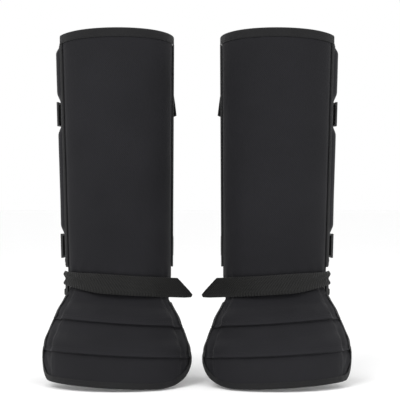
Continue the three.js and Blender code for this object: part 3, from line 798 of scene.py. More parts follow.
    def ribbon(self, path: Array, face: Array, width: Array, thickness: float,
               finish: bpy.types.Material, rows: int = 8, crown: float = 0.15) -> bpy.types.Object:
        """Flat webbing along a path.

        Args:
            path: Middle line of its back face, one point for each station.
            face: Outward direction at each station.
            width: Half its width as a vector at each station, towards its second edge.
            thickness: The webbing's thickness.
            finish: Its material.
            rows: Faces across it.
            crown: How much thicker its middle is than its edges.

        Returns:
            The ribbon.
        """
        stations = len(path) - 1

        def place(u: Array, v: Array, w: Array) -> Array:
            """Places the ribbon's points.

            Args:
                u: Place across, from 0 to 1.
                v: Place up, from 0 to 1.
                w: 0 at the back, 1 at the front.

            Returns:
                Points, in millimetres.
            """
            i = np.clip(np.round(u * stations).astype(int), 0, stations)
            swell = thickness * w + crown * (2.0 * w - 1.0) * (1.0 - (2.0 * v - 1.0) ** 2)
            return path[i] + width[i] * (2.0 * v - 1.0)[:, None] + face[i] * swell[:, None]

        size = (length_of(path), 2.0 * float(np.linalg.norm(width, axis=1).mean()))
        return self.layer(stations, rows, place, size, finish, roundness=0.35, sheen_rim_width=1.5)

    def fold(self, edge: Array, face: Array, inward: Array, inner: float, outer: float,
             leaf: float, finish: bpy.types.Material, tape: float = 0.8,
             bulge: float = 0.55) -> bpy.types.Object:
        """Binding tape folded over a panel's edge.

        Args:
            edge: The panel's edge on its inner surface, one point for each station.
            face: The panel's outward direction at each station.
            inward: The direction from the edge into the panel.
            inner: Height of the panel's back over that surface.
            outer: Height of its front.
            leaf: Width of each leaf.
            finish: The tape's material.
            tape: The tape's thickness.
            bulge: How far the fold stands past the edge, as a share of its half height.

        Returns:
            The folded tape.
        """
        stations = len(edge) - 1
        radius = (outer - inner) / 2.0
        around = math.pi * radius * (1.0 + bulge) / 2.0
        total = 2.0 * leaf + around
        middle = (inner + outer) / 2.0

        def place(u: Array, v: Array, w: Array) -> Array:
            """Places the tape's points.

            Args:
                u: Place across, from 0 to 1.
                v: Place up, from 0 to 1.
                w: 0 at the back, 1 at the front.

            Returns:
                Points, in millimetres.
            """
            i = np.clip(np.round(u * stations).astype(int), 0, stations)
            run = v * total
            turn = np.clip((run - leaf) / around, 0.0, 1.0) * math.pi
            depth = np.where(run < leaf, leaf - run, np.where(run > total - leaf, run - total + leaf, 0.0))
            reach = radius + w * tape
            depth = depth - bulge * reach * np.sin(turn)
            height = middle - reach * np.cos(turn)
            wave = 0.18 * ripple(i * 1.0, v * 9.0, 17.0, 5) * w
            height = height - np.cos(turn) * wave
            return edge[i] + inward[i] * depth[:, None] + face[i] * height[:, None]

        rows = 14
        return self.layer(stations, rows, place, (length_of(edge), total), finish, roundness=0.25, sheen_rim_width=2)

    def stitches(self, path: Array, face: Array, long: float = 2.5, gap: float = 1.0,
                 thick: float = 0.55) -> bpy.types.Object:
        """A row of stitches, sunk half into the cloth.

        Args:
            path: The line sewn, on the cloth's surface.
            face: Outward direction along it.
            long: A stitch's length.
            gap: The distance between two stitches.
            thick: The thread's thickness.

        Returns:
            The row, as one piece.
        """
        self.deselect()
        bpy.ops.mesh.primitive_uv_sphere_add(segments=6, ring_count=4, radius=0.5, location=(0, 0, 0))
        pattern = bpy.context.object
        shape = np.array([p.co for p in pattern.data.vertices])
        faces = [tuple(f.vertices) for f in pattern.data.polygons]
        shape = shape[:, [2, 0, 1]] * np.array([long, thick, thick * 0.8])
        bpy.data.objects.remove(pattern, do_unlink=True)
        count = max(int(length_of(path) / (long + gap)), 1)
        line = resample(path, 2 * count + 1)
        out = unit(resample(face, 2 * count + 1))
        middle, out = line[1::2], out[1::2]
        along = unit(line[2::2] - line[0:-1:2])
        beside = unit(np.cross(out, along))
        out = np.cross(along, beside)
        turned = (shape[None, :, 0, None] * along[:, None] + shape[None, :, 1, None] * beside[:, None]
                  + shape[None, :, 2, None] * out[:, None])
        points = (middle[:, None] + turned).reshape(-1, 3)
        mesh = bpy.data.meshes.new("stitches")
        ring = [tuple(i + k * len(shape) for i in f) for k in range(count) for f in faces]
        mesh.from_pydata(to_world(points).tolist(), [], ring)
        mesh.materials.append(self.finishes.thread)
        row = bpy.data.objects.new("stitches", mesh)
        bpy.context.scene.collection.objects.link(row)
        self._outward(row)
        bpy.ops.object.shade_smooth()
        return row

    def fit(self, piece: bpy.types.Object, name: str, fitting: Fitting) -> None:
        """Names a right-hand piece, copies it for the left leg and fits both.

        Args:
            piece: The finished right-hand piece.
            name: Its name after the leg's name.
            fitting: What it rides on and stands for.
        """
        mirror = piece.copy()
        mirror.data = piece.data.copy()
        bpy.context.scene.collection.objects.link(mirror)
        mirror.data.transform(Matrix.Scale(-1.0, 4, (1.0, 0.0, 0.0)))
        mirror.data.flip_normals()
        for side, one, sign in ((Side.RIGHT, piece, 1.0), (Side.LEFT, mirror, -1.0)):
            self._fit_one(one, name, fitting, side, sign)
        log.info("%s: %d faces on each gaiter", name, len(piece.data.polygons))

    @staticmethod
    def _fit_one(piece: bpy.types.Object, name: str, fitting: Fitting, side: Side,
                 sign: float) -> None:
        """Fits one gaiter's piece to the frame.

        Args:
            piece: The piece.
            name: Its name after the leg's name.
            fitting: What it rides on and stands for.
            side: Which leg.
            sign: 1 for the right leg, -1 for the mirrored left leg; not used.
        """
        leg = side.value
        piece.name = f"{leg}_{name}"
        piece.data.name = piece.name
        if fitting.replaced:
            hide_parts(*(f"{leg}_{node}" for node in fitting.replaced))
        body = fitting.body.format(p=leg)
        if fitting.turns_to is None:
            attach(piece, body)
            return
        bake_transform(piece)


# ---------------------------------------------------------------------------------------------
# Shin panel
# ---------------------------------------------------------------------------------------------


@dataclass
class ShinPanel:
    """The stiffened panel over the shin: its padded shell, its top binding and its seams."""

    outer_edge: float = -70.0
    inner_edge: float = 85.0
    top: float = 437.7
    crown: float = 6.2
    bottom_outer: float = 127.0
    bottom_inner: float = 120.0
    thickness: float = 4.4
    rim: float = 3.2
    seam_inset: float = 6.5
    leaf: float = 10.0
    width: float = 172.0
    height: float = 314.0
    tape_set: float = 0.2
    tape_margin: float = 1.6

    def degrees(self, u: Array) -> Array:
        """Angle of a place across the panel."""
        return mix(self.outer_edge, self.inner_edge, u)

    def top_at(self, u: Array) -> Array:
        """Height of the top edge."""
        return self.top + self.crown * (1.0 - (2.0 * u - 1.0) ** 2)

    def bottom_at(self, u: Array) -> Array:
        """Height of the bottom edge."""
        return mix(self.bottom_outer, self.bottom_inner, u)

    def front(self, u: Array, z: Array) -> Array:
        """How far the cloth's front stands off the leg: padded, with sunk seams.

        Args:
            u: Place across, from 0 to 1.
            z: Height.

        Returns:
            Distances, in millimetres.
        """
        side = np.minimum(u, 1.0 - u) * self.width
        foot = z - self.bottom_at(u)
        head = self.top_at(u) - z
        edge = np.minimum(np.minimum(side, foot), head)
        out = mix(self.rim, self.thickness + 0.5, ease(edge / 16.0))
        out = out + 0.32 * ripple(u * self.width, z, 95.0, 11) * ease(edge / 20.0)
        out = out + 0.14 * ripple(u * self.width, z * 0.6, 26.0, 12) * ease(edge / 12.0)
        pucker = np.sin(u * self.width * 0.42 + 1.3 * np.sin(u * 9.0))
        out = out + 0.35 * pucker * bump(foot, 12.0, 9.0)
        out = out - 0.55 * bump(side, self.seam_inset, 1.5)
        return out - 0.45 * bump(foot, self.seam_inset, 1.5)

    def shell(self, bench: Bench) -> bpy.types.Object:
        """The padded shell: cloth in front, lining behind.

        Args:
            bench: The workbench.

        Returns:
            The shell.
        """

        def place(u: Array, v: Array, w: Array) -> Array:
            """Places the shell's points.

            Args:
                u: Place across, from 0 to 1.
                v: Place up, from 0 to 1.
                w: 0 at the back, 1 at the front.

            Returns:
                Points, in millimetres.
            """
            z = mix(self.bottom_at(u), self.top_at(u) - 0.6, v)
            back = 0.12 * ripple(u * self.width, z, 60.0, 13)
            return LEG.point(self.degrees(u), z, np.where(w > 0.5, self.front(u, z), back))

        def free(u: Array, v: Array) -> Array:
            """Where the cloth isn't sewn down."""
            reach = np.minimum(np.minimum(u, 1.0 - u) * self.width, np.minimum(v, 1.0 - v) * self.height)
            return ease((reach - self.seam_inset - 1.5) / 7.0)

        return bench.layer(72, 126, place, (self.width, self.height), bench.finishes.cloth,
                           bench.finishes.lining, roundness=1.0, swelling=Swelling(free, most=1.0))

    def binding(self, bench: Bench) -> bpy.types.Object:
        """The tape folded over the top edge.

        Args:
            bench: The workbench.

        Returns:
            The tape.
        """
        u = np.linspace(0.0, 1.0, 90)
        z = self.top_at(u) - 1.2
        edge = LEG.point(self.degrees(u), z, 0.0 * u)
        face = unit(LEG.point(self.degrees(u), z, 0.0 * u + 1.0) - edge)
        inward = np.tile([0.0, 0.0, -1.0], (len(u), 1))
        front = self.thickness + self.tape_set
        return bench.fold(edge, face, inward, -0.35, front, self.leaf, bench.finishes.tape)

    def line(self, u: Array, z: Array) -> tuple[Array, Array]:
        """A line sewn on the panel's front, and its outward directions."""
        on = LEG.point(self.degrees(u), z, self.front(u, z) + 0.1)
        return on, unit(LEG.point(self.degrees(u), z, self.front(u, z) + 1.1) - on)

    def build(self, bench: Bench) -> None:
        """Builds and fits the panel's pieces.

        Args:
            bench: The workbench.
        """
        shell = self.shell(bench)
        bench.fit(shell, "shin_shell", Fitting(
            "shin_panels", Slot.CLOTH, ("shin_lining", "shin_insert", "shin_cover"), fill=0.55))
        bench.fit(self.binding(bench), "shin_top_tape", Fitting(
            "shin_panels", Slot.TAPE, ("top_binding",)))
        share = np.linspace(0.0, 1.0, 120)
        inset = self.seam_inset / self.width
        for word, u in (("outer", inset), ("inner", 1.0 - inset)):
            at = np.full_like(share, u)
            z = mix(self.bottom_at(at) + 4.0, self.top_at(at) - 12.0, share)
            bench.fit(bench.stitches(*self.line(at, z)), f"shin_{word}_stitches", Fitting("shin_panels"))
        u = mix(0.02, 0.98, share)
        bench.fit(bench.stitches(*self.line(u, self.bottom_at(u) + self.seam_inset)),
                  "shin_hem_stitches", Fitting("shin_panels"))
        z = self.top_at(u) - self.leaf - self.tape_set + self.tape_margin
        on = LEG.point(self.degrees(u), z, 0.0 * u + self.thickness + 1.05)
        face = unit(on - LEG.point(self.degrees(u), z, 0.0 * u))
        bench.fit(bench.stitches(on, face), "shin_top_stitches", Fitting("shin_panels"))


# ---------------------------------------------------------------------------------------------
# Side wings
# ---------------------------------------------------------------------------------------------


@dataclass
class SideWing:
    """A wing that closes round the calf: padded shell, edge tape and the seam it swings on."""

    word: str
    side: int
    seam: float
    back: float = 150.0
    low: float = WING_FLOOR
    high: float = 427.0
    thickness: float = 3.8
    corner: float = 16.0
    pillow: float = 0.0
    straps: tuple = (338.6, 169.0)
    rim: float = 2.7
    strip_span: tuple = (-4.6, 5.4)
    turn_span: tuple = (-1.2, 1.4)
    turn_depth: float = 4.4

    def width(self) -> float:
        """Its width round the leg, taking a degree for a millimetre."""
        return abs(self.back - self.seam)

    def middle(self) -> float:
        """The height halfway up it."""
        return (self.low + self.high) / 2.0

    def reach(self, z: Array) -> Array:
        """How much of the width the wing has at a height: its back corners are rounded.

        Args:
            z: Height.

        Returns:
            Shares of the width.
        """
        near = np.clip(np.minimum(z - self.low, self.high - z), 0.0, self.corner)
        cut = self.corner - np.sqrt(np.maximum(self.corner**2 - (self.corner - near) ** 2, 0.0))
        return 1.0 - cut / self.width()

    def degrees(self, u: Array, z: Array) -> Array:
        """Angle of a place across the wing, from the seam to the back edge."""
        return self.side * mix(self.seam, self.back, u * self.reach(z))

    def swelling(self, z: Array) -> Array:
        """How freely the wing's padding swells at a height: fully between the straps, not under them."""
        held = [1.0 - ease((np.abs(z - strap) - 13.5) / 14.0) for strap in self.straps]
        return np.clip(1.0 - sum(held), 0.0, 1.0)

    def front(self, u: Array, z: Array) -> Array:
        """How far the cloth's front stands off the leg.

        Args:
            u: Place across, from 0 to 1.
            z: Height.

        Returns:
            Distances, in millimetres.
        """
        edge = np.minimum(np.minimum(z - self.low, self.high - z), (1.0 - u) * self.width())
        out = mix(self.rim, self.thickness - 0.15, ease(edge / 10.0))
        out = out + 0.12 * ripple(u * self.width(), z, 60.0, 21 + self.side) * ease(edge / 12.0)
        puff = self.pillow * self.swelling(z) * ease(u * 7.0 + 0.35) * ease((1.0 - u) * 2.2)
        out = out + puff * ease(edge / 12.0)
        return out - 0.4 * bump(u * self.width(), 6.0, 1.5)

    def shell(self, bench: Bench) -> bpy.types.Object:
        """The padded shell.

        Args:
            bench: The workbench.

        Returns:
            The shell.
        """

        def place(u: Array, v: Array, w: Array) -> Array:
            """Places the shell's points.

            Args:
                u: Place across, from 0 to 1.
                v: Place up, from 0 to 1.
                w: 0 at the back, 1 at the front.

            Returns:
                Points, in millimetres.
            """
            crowded = mix(self.low + 1.0, self.high - 1.0, 0.5 - 0.5 * np.cos(math.pi * v))
            even = mix(self.low + 1.0, self.high - 1.0, v)
            z = mix(crowded, even, 0.7)
            back = 0.1 * ripple(u * self.width(), z, 50.0, 25)
            return LEG.point(self.degrees(u, z), z, np.where(w > 0.5, self.front(u, z), back))

        def free(u: Array, v: Array) -> Array:
            """Where the cloth isn't sewn down or held by a strap.

            Args:
                u: Place across, from 0 to 1.
                v: Place up, from 0 to 1.

            Returns:
                How free each point is, from 0 to 1.
            """
            z = mix(self.low, self.high, v)
            edge = np.minimum(np.minimum(z - self.low, self.high - z),
                              np.minimum(u, 1.0 - u) * self.width())
            return ease((edge - 7.0) / 6.0) * self.swelling(z)

        return bench.layer(30, 120, place, (self.width(), self.high - self.low),
                           bench.finishes.cloth, bench.finishes.lining, roundness=0.8,
                           swelling=Swelling(free, most=1.2))

    def outline(self) -> tuple[Array, Array, Array]:
        """The free edge from the seam's foot round the back to its head: points, faces, inward.

        Returns:
            The points, the outward directions and the inward directions.
        """
        z_side = np.linspace(self.low + 1.0, self.high - 1.0, 240)
        span = mix(self.seam, self.back, self.reach(z_side))
        foot = np.linspace(self.seam + 2.0, span[0], 30)[:-1]
        head = np.linspace(span[-1], self.seam + 2.0, 30)[1:]
        degrees = np.concatenate([foot, span, head])
        z = np.concatenate([0 * foot + z_side[0], z_side, 0 * head + z_side[-1]])
        flat = rounded(np.stack([degrees, z], axis=1), 260, 3)
        edge = LEG.point(self.side * flat[:, 0], flat[:, 1], 0.0 * flat[:, 0])
        face = unit(LEG.point(self.side * flat[:, 0], flat[:, 1], 0.0 * flat[:, 0] + 1.0) - edge)
        along = unit(np.gradient(edge, axis=0))
        inward = unit(np.cross(face, along))
        centre = np.array([self.side * (self.seam + self.back) / 2])
        middle = LEG.point(centre, np.array([self.middle()]), np.array([0.0]))
        if np.sum(inward * (middle - edge)) < 0.0:
            inward = -inward
        return edge, face, inward

    def hinge_tape(self, bench: Bench) -> tuple[bpy.types.Object, Array, Array]:
        """The strip over the seam that the wing swings on, and where its turn starts and ends.

        Args:
            bench: The workbench.

        Returns:
            The strip, and the two points where its turn starts and ends.
        """
        from_degrees, to_degrees = (self.seam + d for d in self.strip_span)

        def place(u: Array, v: Array, w: Array) -> Array:
            """Places the strip's points.

            Args:
                u: Place across, from 0 to 1.
                v: Place up, from 0 to 1.
                w: 0 at the back, 1 at the front.

            Returns:
                Points, in millimetres.
            """
            degrees = mix(from_degrees, to_degrees, u)
            z = mix(self.low - 0.5, self.high + 0.5, v)
            base = mix(3.95, 3.7, u) + 0.9 * bump(u, 0.48, 0.3)
            lift = 0.85 * w * (1.0 - 0.35 * np.abs(2.0 * u - 1.0) ** 4)
            return LEG.point(self.side * degrees, z, base + lift)

        strip = bench.layer(14, 120, place, (9.5, self.high - self.low), bench.finishes.tape,
                            roundness=0.3, sheen_rim_width=2.0)
        level, out = np.array([self.middle()]), np.array([self.turn_depth])
        start, end = (LEG.point(np.array([self.side * (self.seam + d)]), level, out)[0]
                      for d in self.turn_span)
        return strip, start, end

    def build(self, bench: Bench) -> None:
        """Builds and fits the wing's pieces.

        Args:
            bench: The workbench.
        """
        body = "{p}_" + self.word + "_wing"
        bench.fit(self.shell(bench), f"{self.word}_wing_shell", Fitting(
            body, Slot.CLOTH, (f"{self.word}_wing_pocket", f"{self.word}_wing_insert"), fill=0.4))
        edge, face, inward = self.outline()
        tape = bench.fold(edge, face, inward, -0.3, 3.1, 7.0, bench.finishes.tape, tape=0.7)
        bench.fit(tape, f"{self.word}_wing_tape", Fitting(body, Slot.TAPE))
        sewn = edge + inward * 5.6 + face * 3.75
        bench.fit(bench.stitches(sewn, face), f"{self.word}_wing_stitches", Fitting(body))
        strip, start, end = self.hinge_tape(bench)
        bench.fit(strip, f"{self.word}_hinge_tape", Fitting(
            "shin_panels", Slot.TAPE, turns_to=body, start=start, end=end))
        z = np.linspace(self.low + 3.0, self.high - 3.0, 110)
        for offset, rides, out in ((-3.6, "shin_panels", 4.95), (4.3, body, 4.7)):
            degrees = np.full_like(z, self.side * (self.seam + offset))
            on = LEG.point(degrees, z, 0.0 * z + out)
            towards = unit(on - LEG.point(degrees, z, 0.0 * z))
            label = "front" if offset < 0 else "rear"
            bench.fit(bench.stitches(on, towards), f"{self.word}_hinge_{label}_stitches", Fitting(rides))


# ---------------------------------------------------------------------------------------------
# Webbing closures
# ---------------------------------------------------------------------------------------------


@dataclass
class Closure:
    """One strap round the calf: its two halves and the loops round the hardware's bars."""

    level: str
    middle: float
    climb: float
    flare: float
    web: float = 1.5
    width: float = 25.0
    offset: float = 4.1
    lift: float = 1.3
    leaves: float = 138.0
    plane: float = 58.5
    buckle_face: float = 60.3
    buckle_depth: float = 7.5
    lift_run: float = 12.0
    flare_run: float = 9.0
    outer_start: float = 89.0
    inner_start: float = 88.0
    socket_end: float = -19.0
    plug_end: float = 10.6
    adjuster_lap: float = 3.0
    bar_span: tuple = (8.4, 15.6)
    bar_rise: float = 4.1

    def plan(self, side: int, z: float, start: float, end: float, flare: float) -> Array:
        """The strap's inner face in plan at a height, from its front end to behind the calf.

        Args:
            side: -1 for the outer half, 1 for the inner half.
            z: Height.
            start: Angle of its front end, in degrees.
            end: Where its rear end is across the calf.
            flare: How far its front end stands off.

        Returns:
            Points in plan.
        """
        degrees = np.linspace(start, self.leaves, 40)
        rise = np.clip((degrees - self.leaves + self.lift_run) / self.lift_run, 0.0, 1.0) * self.lift
        rise = rise + flare * (1.0 - ease((degrees - start) / self.flare_run))
        on = LEG.point(side * degrees, np.full_like(degrees, z), self.offset + rise)[:, :2]
        onward = on[-1] - on[-2]
        corner = on[-1] + onward * (self.plane - on[-1][1]) / onward[1]
        return np.vstack([on, corner, [end, self.plane]])

    def strap(self, bench: Bench, side: int, start: float, end: float, climb: float,
              flare: float) -> bpy.types.Object:
        """One half of the strap.

        Args:
            bench: The workbench.
            side: -1 for the outer half, 1 for the inner half.
            start: Angle of its front end, in degrees.
            end: Where its rear end is across the calf.
            climb: How much higher its front end is.
            flare: How far its front end stands off.

        Returns:
            The strap.
        """
        columns, rows = 150, 8

        def place(u: Array, v: Array, w: Array) -> Array:
            """Places the strap's points, one row at a time.

            Args:
                u: Place across, from 0 to 1.
                v: Place up, from 0 to 1.
                w: 0 at the back, 1 at the front.

            Returns:
                Points, in millimetres.
            """
            points = np.zeros((len(u), 3))
            i = np.round(u * columns).astype(int)
            for row in range(rows + 1):
                here = np.round(v * rows).astype(int) == row
                share = row / rows
                z = self.middle - self.width / 2.0 + share * self.width
                level = climb * np.clip(1.0 - np.arange(columns + 1) / (0.8 * columns), 0.0, 1.0)
                line = rounded(self.plan(side, z, start, end, flare * (1.0 - share)), columns + 1, 6)
                along = unit(np.gradient(line, axis=0))
                face = np.stack([along[:, 1], -along[:, 0]], axis=1)
                if np.sum(face[0] * line[0]) < 0.0:
                    face = -face
                swell = self.web * w[here] + 0.12 * (2 * w[here] - 1) * (1 - (2 * share - 1) ** 2)
                points[here, :2] = line[i[here]] + face[i[here]] * swell[:, None]
                points[here, 2] = z + level[i[here]]
            return points

        long = length_of(self.plan(side, self.middle, start, end, 0.0))
        return bench.layer(columns, rows, place, (long, self.width), bench.finishes.web,
                           roundness=0.35, sheen_rim_width=1.5)

    def loop(self, bench: Bench, line: Sequence[Sequence[float]], turn: float = 0.0) -> bpy.types.Object:
        """A short run of webbing through a slot and over a bar, drawn in plan.

        Args:
            bench: The workbench.
            line: Its middle line in plan.
            turn: How much higher its last end is.

        Returns:
            The loop.
        """
        flat = rounded(np.array(line, float), 46, 2)
        share = np.linspace(0.0, 1.0, len(flat))
        path = np.column_stack([flat, self.middle + turn * share])
        along = unit(np.gradient(flat, axis=0))
        face = np.column_stack([-along[:, 1], along[:, 0], 0.0 * share])
        wide = np.tile([0.0, 0.0, self.width / 2.0 - 0.1], (len(flat), 1))
        return bench.ribbon(path - face * self.web / 2.0, face, wide, self.web, bench.finishes.web,
                            crown=0.05)

    def adjuster_loop(self, bench: Bench) -> bpy.types.Object:
        """The webbing over the ladder adjuster's middle bar.

        Args:
            bench: The workbench.

        Returns:
            The loop.
        """
        inner = self.offset + self.web + 0.3
        lap = -self.outer_start + self.adjuster_lap
        degrees = np.linspace(lap - self.bar_span[0], lap - self.bar_span[1], 30)
        rise = np.sin(np.linspace(0.0, math.pi, 30)) ** 0.45 * self.bar_rise
        on = LEG.point(degrees, np.full(30, self.middle), inner - 0.9 + rise)
        return self.loop(bench, on[::-1, :2])

    def build(self, bench: Bench) -> None:
        """Builds and fits the closure's webbing.

        Args:
            bench: The workbench.
        """
        name = self.level
        outer = self.strap(bench, -1, self.outer_start, self.socket_end, 0.0, 0.0)
        bench.fit(outer, f"{name}_strap_outer_web", Fitting(
            "{p}_outer_wing", Slot.WEBBING, (f"{name}_strap_outer",)))
        inner = self.strap(bench, 1, self.inner_start, self.plug_end, self.climb, self.flare)
        bench.fit(inner, f"{name}_strap_inner_web", Fitting(
            "{p}_inner_wing", Slot.WEBBING, (f"{name}_strap_inner",)))
        bench.fit(self.adjuster_loop(bench), f"{name}_adjuster_loop", Fitting(
            "{p}_outer_wing", Slot.WEBBING))
        top = self.buckle_face + self.buckle_depth
        socket = [(-27.6, 60.9), (-27.6, top - 1.0), (-28.2, top + 0.9), (-31.2, top + 0.9),
                  (-32.3, top - 1.2), (-32.3, 62.6), (-34.0, 61.1), (-52.0, 61.0)]
        bench.fit(self.loop(bench, socket), f"{name}_socket_loop", Fitting(
            "{p}_outer_wing", Slot.WEBBING))
        plug = [(14.9, 61.2), (14.9, top - 0.6), (14.0, top + 0.95), (9.9, top + 0.95),
                (8.9, top - 0.6), (8.9, 61.2)]
        bench.fit(self.loop(bench, plug), f"{name}_plug_loop", Fitting(
            "{p}_" + name + "_plug", Slot.WEBBING))


# ---------------------------------------------------------------------------------------------
# Boot shield
# ---------------------------------------------------------------------------------------------


@dataclass
class ShieldPad:
    """One of the shield's shingled pads: stiff in the middle, with soft flanges."""

    word: str
    body: str
    low: float
    high: float
    lift: float
    corner: float
    seed: int
    thickness: float = 3.4
    flange: float = 2.0
    hump: float = 0.0
    stiff: float = 0.70
    lip: float = 16.0
    overlap: float = 8.0
    corner_starts: tuple = (0.8, 0.42)
    corner_rises: tuple = (0.72, 1.3)
    taper: float = 0.05
    half_span: float = 108.0
    crowding: float = 1.35
    settled: float = 0.62
    edge_share: float = 0.998
    tape_level: float = 101.0
    covered_level: float = 103.0
    head_level: float = 104.0
    hump_level: float = 106.0

    def column_at(self, u: Array) -> Array:
        """The place across of a grid column: the columns crowd towards the sides."""
        return np.sin((2.0 * u - 1.0) * self.crowding) / math.sin(self.crowding)

    def soft(self, across: Array) -> Array:
        """How far out in the soft flange a place is, from 0 to 1."""
        return ease((np.abs(across) - self.stiff) / 0.08)

    def rise(self, across: Array) -> Array:
        """How much the lower edge rises towards its rounded corners.

        Args:
            across: Place across, from -1 (outer side) to 1 (inner side).

        Returns:
            Heights, in millimetres.
        """
        inner = across > 0.0
        start = np.where(inner, self.corner_starts[1], self.corner_starts[0])
        rise = np.where(inner, self.corner_rises[1], self.corner_rises[0])
        t = np.clip((np.abs(across) - start) / (1.0 - start), 0.0, 1.0)
        return self.corner * rise * (1.0 - np.sqrt(1.0 - t * t))

    def stand_off(self, across: Array, height: Array) -> Array:
        """How far the pad's back stands off the shield's surface."""
        share = ease((self.low + self.overlap + self.lip - height) / self.lip)
        return self.lift * share * (1.0 - self.settled * self.soft(across))

    def front(self, across: Array, height: Array) -> Array:
        """How thick the pad is at a place.

        Args:
            across: Place across, from -1 (outer side) to 1 (inner side).
            height: Height on the shield.

        Returns:
            Distances, in millimetres.
        """
        side = (1.0 - np.abs(across)) * self.half_span
        foot = height - self.low
        soft = self.soft(across)
        full = mix(self.thickness, self.flange, soft)
        tucked = soft * ease((height - self.high + self.overlap + 6.0) / 6.0)
        full = mix(full, 1.1, tucked)
        head = ease((self.head_level - height) / 10.0)
        out = full + 0.7 * (1.0 - soft) * ease(foot / 9.0) * head
        out = out + 0.3 * ripple(across * 100.0, height, 34.0, self.seed) * ease(foot / 8.0) * head
        wave = ripple(across * 100.0, height, 23.0, self.seed + 7)
        out = out + 0.8 * soft * (1.0 - tucked) * wave * ease(side / 8.0) * head
        out = out + self.hump * bump(across, -0.52, 0.2) * bump(height, self.hump_level, 5.5)
        seam = np.abs(np.abs(across) - self.stiff) * self.half_span
        out = out - 0.6 * bump(seam, 0.0, 1.6) * head
        out = out - 0.5 * bump(foot, 5.0, 1.3)
        return np.maximum(out, 0.8)

    def at(self, across: Array, height: Array, out: Array) -> Array:
        """A point of the pad, that far off its back.

        Args:
            across: Place across, from -1 (outer side) to 1 (inner side).
            height: Height on the shield.
            out: Distance off the surface.

        Returns:
            Points, in millimetres.
        """
        share = (self.high - height) / (self.high - self.low)
        level = height + self.rise(across) * share
        if not self.corner:
            across = across * (1.0 - self.taper * ease(1.0 - (height - self.low) / 16.0))
        return SHIELD.point(across, level, out + self.stand_off(across, height))

    def shell(self, bench: Bench) -> bpy.types.Object:
        """The pad's padded shell.

        Args:
            bench: The workbench.

        Returns:
            The shell.
        """
        columns = 96
        rows = max(int((self.high - self.low) / 2.0), 16)

        def place(u: Array, v: Array, w: Array) -> Array:
            """Places the shell's points.

            Args:
                u: Place across, from 0 to 1.
                v: Place up, from 0 to 1.
                w: 0 at the back, 1 at the front.

            Returns:
                Points, in millimetres.
            """
            across = self.column_at(u) * 0.993
            height = mix(self.low + 0.6, self.high, v)
            return self.at(across, height, np.where(w > 0.5, self.front(across, height), 0.0))

        def free(u: Array, v: Array) -> Array:
            """Where the cloth isn't sewn down or tucked under the next piece.

            Args:
                u: Place across, from 0 to 1.
                v: Place up, from 0 to 1.

            Returns:
                How free each point is, from 0 to 1.
            """
            across = self.column_at(u)
            height = mix(self.low, self.high, v)
            seam = np.abs(np.abs(across) - self.stiff) * self.half_span
            side = (1.0 - np.abs(across)) * self.half_span
            covered = min(self.high - self.overlap, self.covered_level)
            ends = np.minimum(height - self.low - 6.0, covered - height)
            return ease(np.minimum(np.minimum(seam - 1.5, side - 6.0), ends) / 7.0)

        return bench.layer(columns, rows, place, (200.0, self.high - self.low),
                           bench.finishes.cloth, bench.finishes.lining, roundness=0.8,
                           swelling=Swelling(free, most=1.5))

    def edge(self, across: Array, height: Array) -> tuple[Array, Array, Array]:
        """An edge's points with their outward and inward directions.

        Args:
            across: Place across, from -1 (outer side) to 1 (inner side).
            height: Height on the shield.

        Returns:
            The points, the outward directions and the inward directions.
        """
        on = self.at(across, height, 0.0 * across)
        face = unit(self.at(across, height, 0.0 * across + 1.0) - on)
        along = unit(np.gradient(on, axis=0))
        inward = unit(np.cross(face, along))
        centre = self.at(np.array([0.0]), np.array([(self.low + self.high) / 2.0]), np.array([0.0]))
        if np.sum(inward * (centre - on)) < 0.0:
            inward = -inward
        return on, face, inward

    def tapes(self, bench: Bench) -> None:
        """The edge binding: down both sides, and round the toe pad's lower edge as well.

        Args:
            bench: The workbench.
        """
        top = min(self.high - self.overlap - 0.5, self.tape_level)
        side = np.linspace(top, self.low, 24 if self.corner else 32)
        if self.corner:
            theta = np.linspace(0.0, math.pi, 220)
            across = np.concatenate([0 * side[:-1] - 1.0, -np.cos(theta), 0 * side[:-1] + 1.0])
            height = np.concatenate([side[:-1], 0 * theta + self.low, side[::-1][1:]])
            line = resample(np.column_stack([across * 100.0, height]), 300)
            on, face, inward = self.edge(np.clip(line[:, 0] / 100.0, -1, 1) * self.edge_share, line[:, 1])
            tape = bench.fold(on, face, inward, -0.3, 2.9, 6.0, bench.finishes.tape, tape=0.75)
            bench.fit(tape, f"{self.word}_tape", Fitting(
                "{p}_" + self.body, Slot.TAPE, ("toe_binding",)))
            bench.fit(bench.stitches(on + inward * 4.8 + face * 3.75, face), f"{self.word}_tape_stitches",
                      Fitting("{p}_" + self.body))
            return
        for word, sign in (("outer", -1.0), ("inner", 1.0)):
            on, face, inward = self.edge(np.full_like(side, sign * self.edge_share), side)
            tape = bench.fold(on, face, inward, -0.2, 2.1, 5.5, bench.finishes.tape, tape=0.7)
            bench.fit(tape, f"{self.word}_{word}_tape", Fitting("{p}_" + self.body, Slot.TAPE))

    def seams(self, bench: Bench) -> None:
        """The stitch lines: along the lower edge and down both sides of the stiff part.

        Args:
            bench: The workbench.
        """
        across = np.linspace(-0.985, 0.985, 200)
        height = np.full_like(across, self.low + (8.0 if self.corner else 5.0))
        body = Fitting("{p}_" + self.body)
        if not self.corner:
            bench.fit(bench.stitches(*self._line(across, height)), f"{self.word}_hem_stitches", body)
        height = np.linspace(self.low + 3.0, min(self.high - 2.0, self.covered_level), 60)
        for word, sign in (("outer", -1.0), ("inner", 1.0)):
            sewn = self._line(np.full_like(height, sign * self.stiff), height)
            bench.fit(bench.stitches(*sewn), f"{self.word}_{word}_stitches", body)

